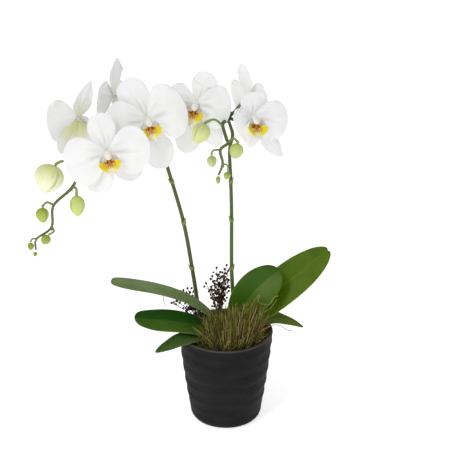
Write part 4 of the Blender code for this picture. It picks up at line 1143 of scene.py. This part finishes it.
def pot_ripple(radius, height, turn):
    """Soft uneven ripples round the outer wall, none inside or at the rim and foot."""
    share = (height - POT_LOW_HEIGHT) / (POT_HEIGHT - POT_LOW_HEIGHT)
    fade = smooth_step(share * 5.0) * smooth_step((1.0 - share) * 9.0)
    uneven = 0.55 * np.sin(turn + 0.7) + 0.35 * np.sin(3.0 * turn + 2.0 + 4.0 * share)
    phase = 2.0 * math.pi * RIPPLES * share + uneven
    outside = radius > pot_outer_radius(height) - 1.5
    return outside * fade * (0.5 * np.sin(phase) + 0.1 * np.sin(2.3 * phase + 1.0))


def add_pot():
    """The pot, from its floor up the inner wall, over the rounded rim and down the outer wall."""
    profile = [(38.0, POT_FLOOR)]
    profile += [(pot_inner_radius(i / 10.0), 14.0 + (POT_HEIGHT - 16.0) * i / 10.0) for i in range(11)]
    middle = POT_RIM_RADIUS - 0.5 * POT_WALL
    for i in range(9):
        turn = math.pi * (1.0 - i / 8.0)
        profile.append((middle + 2.1 * math.cos(turn), POT_HEIGHT - 1.5 + 1.5 * math.sin(turn)))
    for height in np.linspace(POT_HEIGHT - 2.2, 1.0, 97):
        profile.append((pot_outer_radius(height), height))
    profile += [(POT_FOOT_RADIUS + 0.4, 0.35), (POT_FOOT_RADIUS - 0.8, 0.0)]
    radius, height = np.array(profile).T
    # Painted highlight: the rounded rim is painted a lighter grey, as the line of light along it.
    rim = smooth_step((height - (POT_HEIGHT - 2.2)) / 1.6) * (radius > 50.0)
    shape = Shape()
    turned(shape, profile, 160, mixed(tone(33, 33, 34), tone(84, 82, 82), rim), pot_ripple)
    shape.made("pot_shape", "pot", pot_material(), ["pot"])


def chip(shape, rng, place, size, tint):
    """One bark chip: a bent, knobbly flat block."""
    block = bmesh.new()
    bmesh.ops.create_cube(block, size=2.0)
    bmesh.ops.subdivide_edges(block, edges=block.edges, cuts=2, use_grid_fill=True)
    block.verts.index_update()
    points = np.array([vertex.co for vertex in block.verts])
    faces = [tuple(vertex.index for vertex in face.verts) for face in block.faces]
    block.free()
    points = points / np.maximum(1.0, 0.82 * np.linalg.norm(points, axis=1, keepdims=True))
    points = points * (1.0, rng.uniform(0.45, 0.8), rng.uniform(0.22, 0.4))
    points += rng.uniform(-0.09, 0.09, points.shape)
    points[:, 2] += 0.16 * np.sin(2.0 * points[:, 0] + rng.uniform(0.0, 6.0))
    tilt = rng.uniform(-0.5, 0.5, 3)
    spin = Matrix.Rotation(rng.uniform(0.0, 6.28), 3, "Z")
    spin = spin @ Matrix.Rotation(tilt[0], 3, "X") @ Matrix.Rotation(tilt[1], 3, "Y")
    points = points @ np.array(spin).T * size + place
    shade = rng.uniform(0.65, 1.25)
    streak = 1.0 + 0.25 * np.sin(3.0 * points[:, 0] + 2.0 * points[:, 1])
    shape.add(points, faces, (0.0, 0.0), tint * (shade * streak)[:, None])


def add_bark(rng):
    """A dark bed with chips of bark heaped over it."""
    shape = Shape()
    bed = BARK_TOP - 4.0
    top = pot_inner_radius((bed - POT_FLOOR) / (POT_HEIGHT - POT_FLOOR)) - 0.5
    profile = [(20.0, bed), (40.0, bed), (top, bed), (42.0, 16.0), (37.0, 9.0)]
    turned(shape, profile, 64, np.tile(tone(48, 32, 22), (len(profile), 1)))
    browns = [tone(118, 76, 48), tone(96, 62, 42), tone(140, 96, 62), tone(84, 58, 44), tone(128, 84, 66)]
    for i in range(BARK_CHIPS):
        turn = GOLDEN_TURN * i
        size = rng.uniform(3.2, 7.6)
        radius = min(55.0 * math.sqrt((i + 0.5) / BARK_CHIPS), 57.5 - 0.85 * size)
        height = BARK_TOP - 1.5 + rng.uniform(-1.5, 2.6)
        place = (radius * math.cos(turn), radius * math.sin(turn), height)
        chip(shape, rng, place, size, browns[i % len(browns)])
    skin = plain_material("bark_skin", 0.85, 420.0, 0.0012, (0.5, 0.45, 0.42), 0.25)
    shape.made("bark_chips", "potting_bark", skin, ["potting_bark"])


def moss_place(along, out):
    """A place in the crescent of moss: along its arc and out from its middle line, each from -1 to 1."""
    angle = math.radians(MOSS_ARC_MIDDLE + MOSS_ARC_REACH * along)
    radius = MOSS_RADIUS + MOSS_HALF_DEPTH * out
    return radius * math.cos(angle), radius * math.sin(angle)


MOSS_TONES = (
    tone(112, 112, 44), tone(142, 138, 62), tone(92, 104, 38), tone(168, 158, 90), tone(106, 78, 46),
    tone(88, 62, 40), tone(132, 104, 66), tone(74, 96, 34), tone(120, 132, 56), tone(182, 166, 116),
    tone(70, 52, 34), tone(96, 122, 46),
)


def strand(shape, rng, foot, height, lean, radius, colour, wave=1.0):
    """One dry strand: it rises, bends and wavers, and thins to its tip."""
    t = np.linspace(0.0, 1.0, 7)[:, None]
    phase = rng.uniform(0.0, 6.28, 2)
    waver = np.concatenate([np.sin(5.0 * t + phase[0]), np.sin(4.0 * t + phase[1]), np.zeros_like(t)], 1)
    bend = np.concatenate([lean[0] * t**1.5, lean[1] * t**1.5, height * t - 0.12 * height * t**3], 1)
    path = np.asarray(foot) + bend + waver * wave * t
    tints = mixed(colour * 0.6, colour * 1.1, t[:, 0])
    shape.tube(path, radius * (1.05 - 0.8 * t[:, 0]), 4, tints, flat=0.45)


def moss_colour(rng, low, high):
    """One of the moss's colours, drawn at random, at a random brightness."""
    return MOSS_TONES[int(rng.integers(len(MOSS_TONES)))] * rng.uniform(low, high)


def add_moss(rng):
    """The clump: upright strands over a tangle of short ones."""
    shape = Shape()
    for i in range(MOSS_STRANDS):
        share = math.sqrt((i + 0.5) / MOSS_STRANDS)
        turn = GOLDEN_TURN * i
        along, out = 0.98 * share * math.cos(turn), 0.92 * share * math.sin(turn)
        x, y = moss_place(along, out)
        tall = 1.0 - 0.16 * share**4
        height = tall * rng.uniform(34.0, 82.0)
        if i % 3 == 0:
            height = rng.uniform(10.0, 36.0)
        lean = (0.24 * (x - 4.0) + rng.normal(0.0, 5.5), 0.12 * (y + 34.0) + rng.normal(-1.5, 3.0))
        foot = (x + rng.normal(0.0, 1.0), y + rng.normal(0.0, 1.0), MOSS_BOTTOM - 3.0)
        colour = moss_colour(rng, 0.6, 1.75)
        strand(shape, rng, foot, height, lean, rng.uniform(0.38, 0.9), colour, rng.uniform(0.3, 2.4))
    for _ in range(MOSS_FELT):
        along, out = rng.uniform(-0.95, 0.95), rng.uniform(-0.8, 0.9)
        x, y = moss_place(along, out)
        colour = moss_colour(rng, 0.4, 0.9)
        level = MOSS_BOTTOM + rng.uniform(0.0, 16.0)
        lean = (rng.normal(0.0, 9.0), rng.normal(0.0, 5.0))
        strand(shape, rng, (x, y, level), rng.uniform(-2.0, 9.0), lean, rng.uniform(0.5, 1.0), colour, 2.0)
    skin = plain_material("moss_skin", 0.9, 700.0, 0.0004, (0.55, 0.5, 0.4), 0.15)
    shape.made("moss_strands", "moss_dressing", skin, ["moss_dressing"])


def add_loose_strands(rng):
    """Wiry grass that has strayed over the leaves and past the pot's edge."""
    shape = Shape()
    for places, radius, colour in STRAY_STRANDS:
        shape.tube(rounded(places, 5), radius, 5, tone(*colour))
    for i in range(MOSS_EDGE):
        side = -1.0 if i % 2 else 1.0
        x, y = moss_place(side * rng.uniform(0.25, 1.06), rng.uniform(0.1, 0.98))
        lean = (side * rng.uniform(-3.0, 13.0), rng.uniform(-5.0, 3.0))
        colour = moss_colour(rng, 0.8, 1.6)
        strand(shape, rng, (x, y, MOSS_BOTTOM - 3.0), rng.uniform(5.0, 34.0), lean, 0.5, colour, 1.5)
    skin = plain_material("straw_skin", 0.8, 700.0, 0.0003, (0.6, 0.55, 0.45), 0.2)
    shape.made("loose_strands", "moss_dressing", skin)


def capsule(shape, rng, place, aim, radius, colour):
    """A dry seed capsule: a small ribbed pear with a point."""
    rise, turn = rings(7, 9, gap=0.03)
    ring = np.sin(math.pi * rise) * (1.0 + 0.14 * np.cos(3.0 * turn)) * (1.0 - 0.18 * np.cos(math.pi * rise))
    pear = np.stack([ring * np.cos(turn), ring * np.sin(turn), -1.15 * np.cos(math.pi * rise)], -1)
    spin = np.array(Vector(aim).to_track_quat("Z", "Y").to_matrix())
    shade = 0.75 + 0.5 * rise.reshape(-1, 1) * rng.uniform(0.6, 1.3)
    points = pear.reshape(-1, 3) * radius @ spin.T + place
    shape.add(points, ring_faces(7, 9), (0.0, 0.0), colour * shade)


def add_spray(name, foot, tips, forks, rng, material):
    """A dried spray: wiry twigs from one foot, forking into short stalks that carry the capsules."""
    shape = Shape()
    foot = np.array(foot)
    twig_brown = tone(96, 62, 38)
    browns = (tone(74, 48, 28), tone(58, 38, 24), tone(92, 62, 34), tone(122, 92, 48), tone(48, 32, 22))
    for i, tip in enumerate(tips):
        tip = np.array(tip)
        knee = foot + (tip - foot) * 0.5 + (0.1 * (foot[0] - tip[0]), 0.0, 3.0)
        path = rounded([foot, knee, tip], 7)
        shape.tube(path, np.linspace(0.75, 0.4, len(path)), 6, twig_brown * rng.uniform(0.8, 1.2))
        capsule(shape, rng, tip, (0.2, 0.0, 1.0), 1.7, browns[i % 5])
        for j in range(forks):
            start = path[int(len(path) * (0.42 + 0.56 * j / forks)) - 1]
            turn = 2.4 * j + 1.9 * i
            reach = rng.uniform(4.0, 8.0)
            aside = (reach * math.cos(turn), 0.6 * reach * math.sin(turn), rng.uniform(1.5, 6.5))
            end = start + np.array(aside)
            way = start + (end - start) * 0.5 + (0.0, 0.0, -0.6)
            branch = rounded([start, way, end], 3)
            shape.tube(branch, 0.34, 5, twig_brown * rng.uniform(0.7, 1.2))
            size = rng.uniform(1.25, 1.95)
            capsule(shape, rng, end, end - way, size, browns[int(rng.integers(5))])
            if j % 2:
                more = way + rng.normal(0.0, 2.4, 3) + (0.0, 0.0, 2.2)
                shape.tube([way, more], 0.3, 4, twig_brown)
                size = rng.uniform(1.1, 1.6)
                capsule(shape, rng, more, (0.0, 0.2, 1.0), size, browns[int(rng.integers(5))])
    shape.made(f"{name}_shape", name, material, [name])


# ---------------------------------------------------------------- studio


def add_studio():
    """A white floor in an even white room, three soft lights and the camera."""
    world = bpy.data.worlds.new("studio")
    world.use_nodes = True
    background = world.node_tree.nodes["Background"]
    background.inputs["Color"].default_value = (1.0, 1.0, 1.0, 1.0)
    background.inputs["Strength"].default_value = 0.46
    bpy.context.scene.world = world
    floor_mesh = bpy.data.meshes.new("floor")
    corners = [(FLOOR_REACH * x, FLOOR_REACH * y, 0.0) for x, y in ((-1, -1), (1, -1), (1, 1), (-1, 1))]
    floor_mesh.from_pydata(corners, [], [(0, 1, 2, 3)])
    floor = bpy.data.objects.new("floor", floor_mesh)
    bpy.context.scene.collection.objects.link(floor)
    material, shader = new_material("floor_white", 0.9, 0.0)
    shader.inputs["Base Color"].default_value = (0.92, 0.92, 0.92, 1.0)
    shader.inputs["Emission Color"].default_value = (1.0, 1.0, 1.0, 1.0)
    shader.inputs["Emission Strength"].default_value = 0.6
    floor_mesh.materials.append(material)
    for name, place, target, size, power in LIGHTS:
        light = bpy.data.lights.new(name, "AREA")
        light.shape = "DISK"
        light.size = size
        light.energy = power
        lamp = bpy.data.objects.new(name, light)
        lamp.location = place
        lamp.rotation_euler = (Vector(target) - Vector(place)).to_track_quat("-Z", "Y").to_euler()
        bpy.context.scene.collection.objects.link(lamp)
    camera = bpy.data.cameras.new("camera")
    camera.lens = CAMERA_LENS
    camera.sensor_width = CAMERA_SENSOR
    viewer = bpy.data.objects.new("camera", camera)
    viewer.location = CAMERA_PLACE
    viewer.rotation_euler = (math.radians(CAMERA_PITCH), 0.0, 0.0)
    bpy.context.scene.collection.objects.link(viewer)
    bpy.context.scene.camera = viewer
    bpy.context.scene.view_settings.view_transform = "Standard"


def main():
    add_studio()
    rng = np.random.default_rng(SEED)
    petal, lip_skin = petal_material(), lip_material()
    for number, flower in enumerate(FLOWERS):
        add_tepals(flower, number, petal)
        add_lip_and_column(flower, lip_skin)
    for leaf in LEAVES:
        add_leaf(leaf)
    add_spikes(stem_material())
    bud_skin = bud_material()
    for number, bud in enumerate(BUDS):
        add_bud(bud, number, bud_skin)
    add_pot()
    add_bark(rng)
    add_moss(rng)
    add_loose_strands(rng)
    berry_skin = plain_material("berry_skin", 0.7, 600.0, 0.0005, (0.5, 0.45, 0.4), 0.3)
    add_spray("berry_spray_right", (-9.0, 38.0, 120.0), RIGHT_SPRAY_TIPS, 9, rng, berry_skin)
    add_spray("berry_spray_left", (-40.0, 38.0, 120.0), LEFT_SPRAY_TIPS, 7, rng, berry_skin)


main()
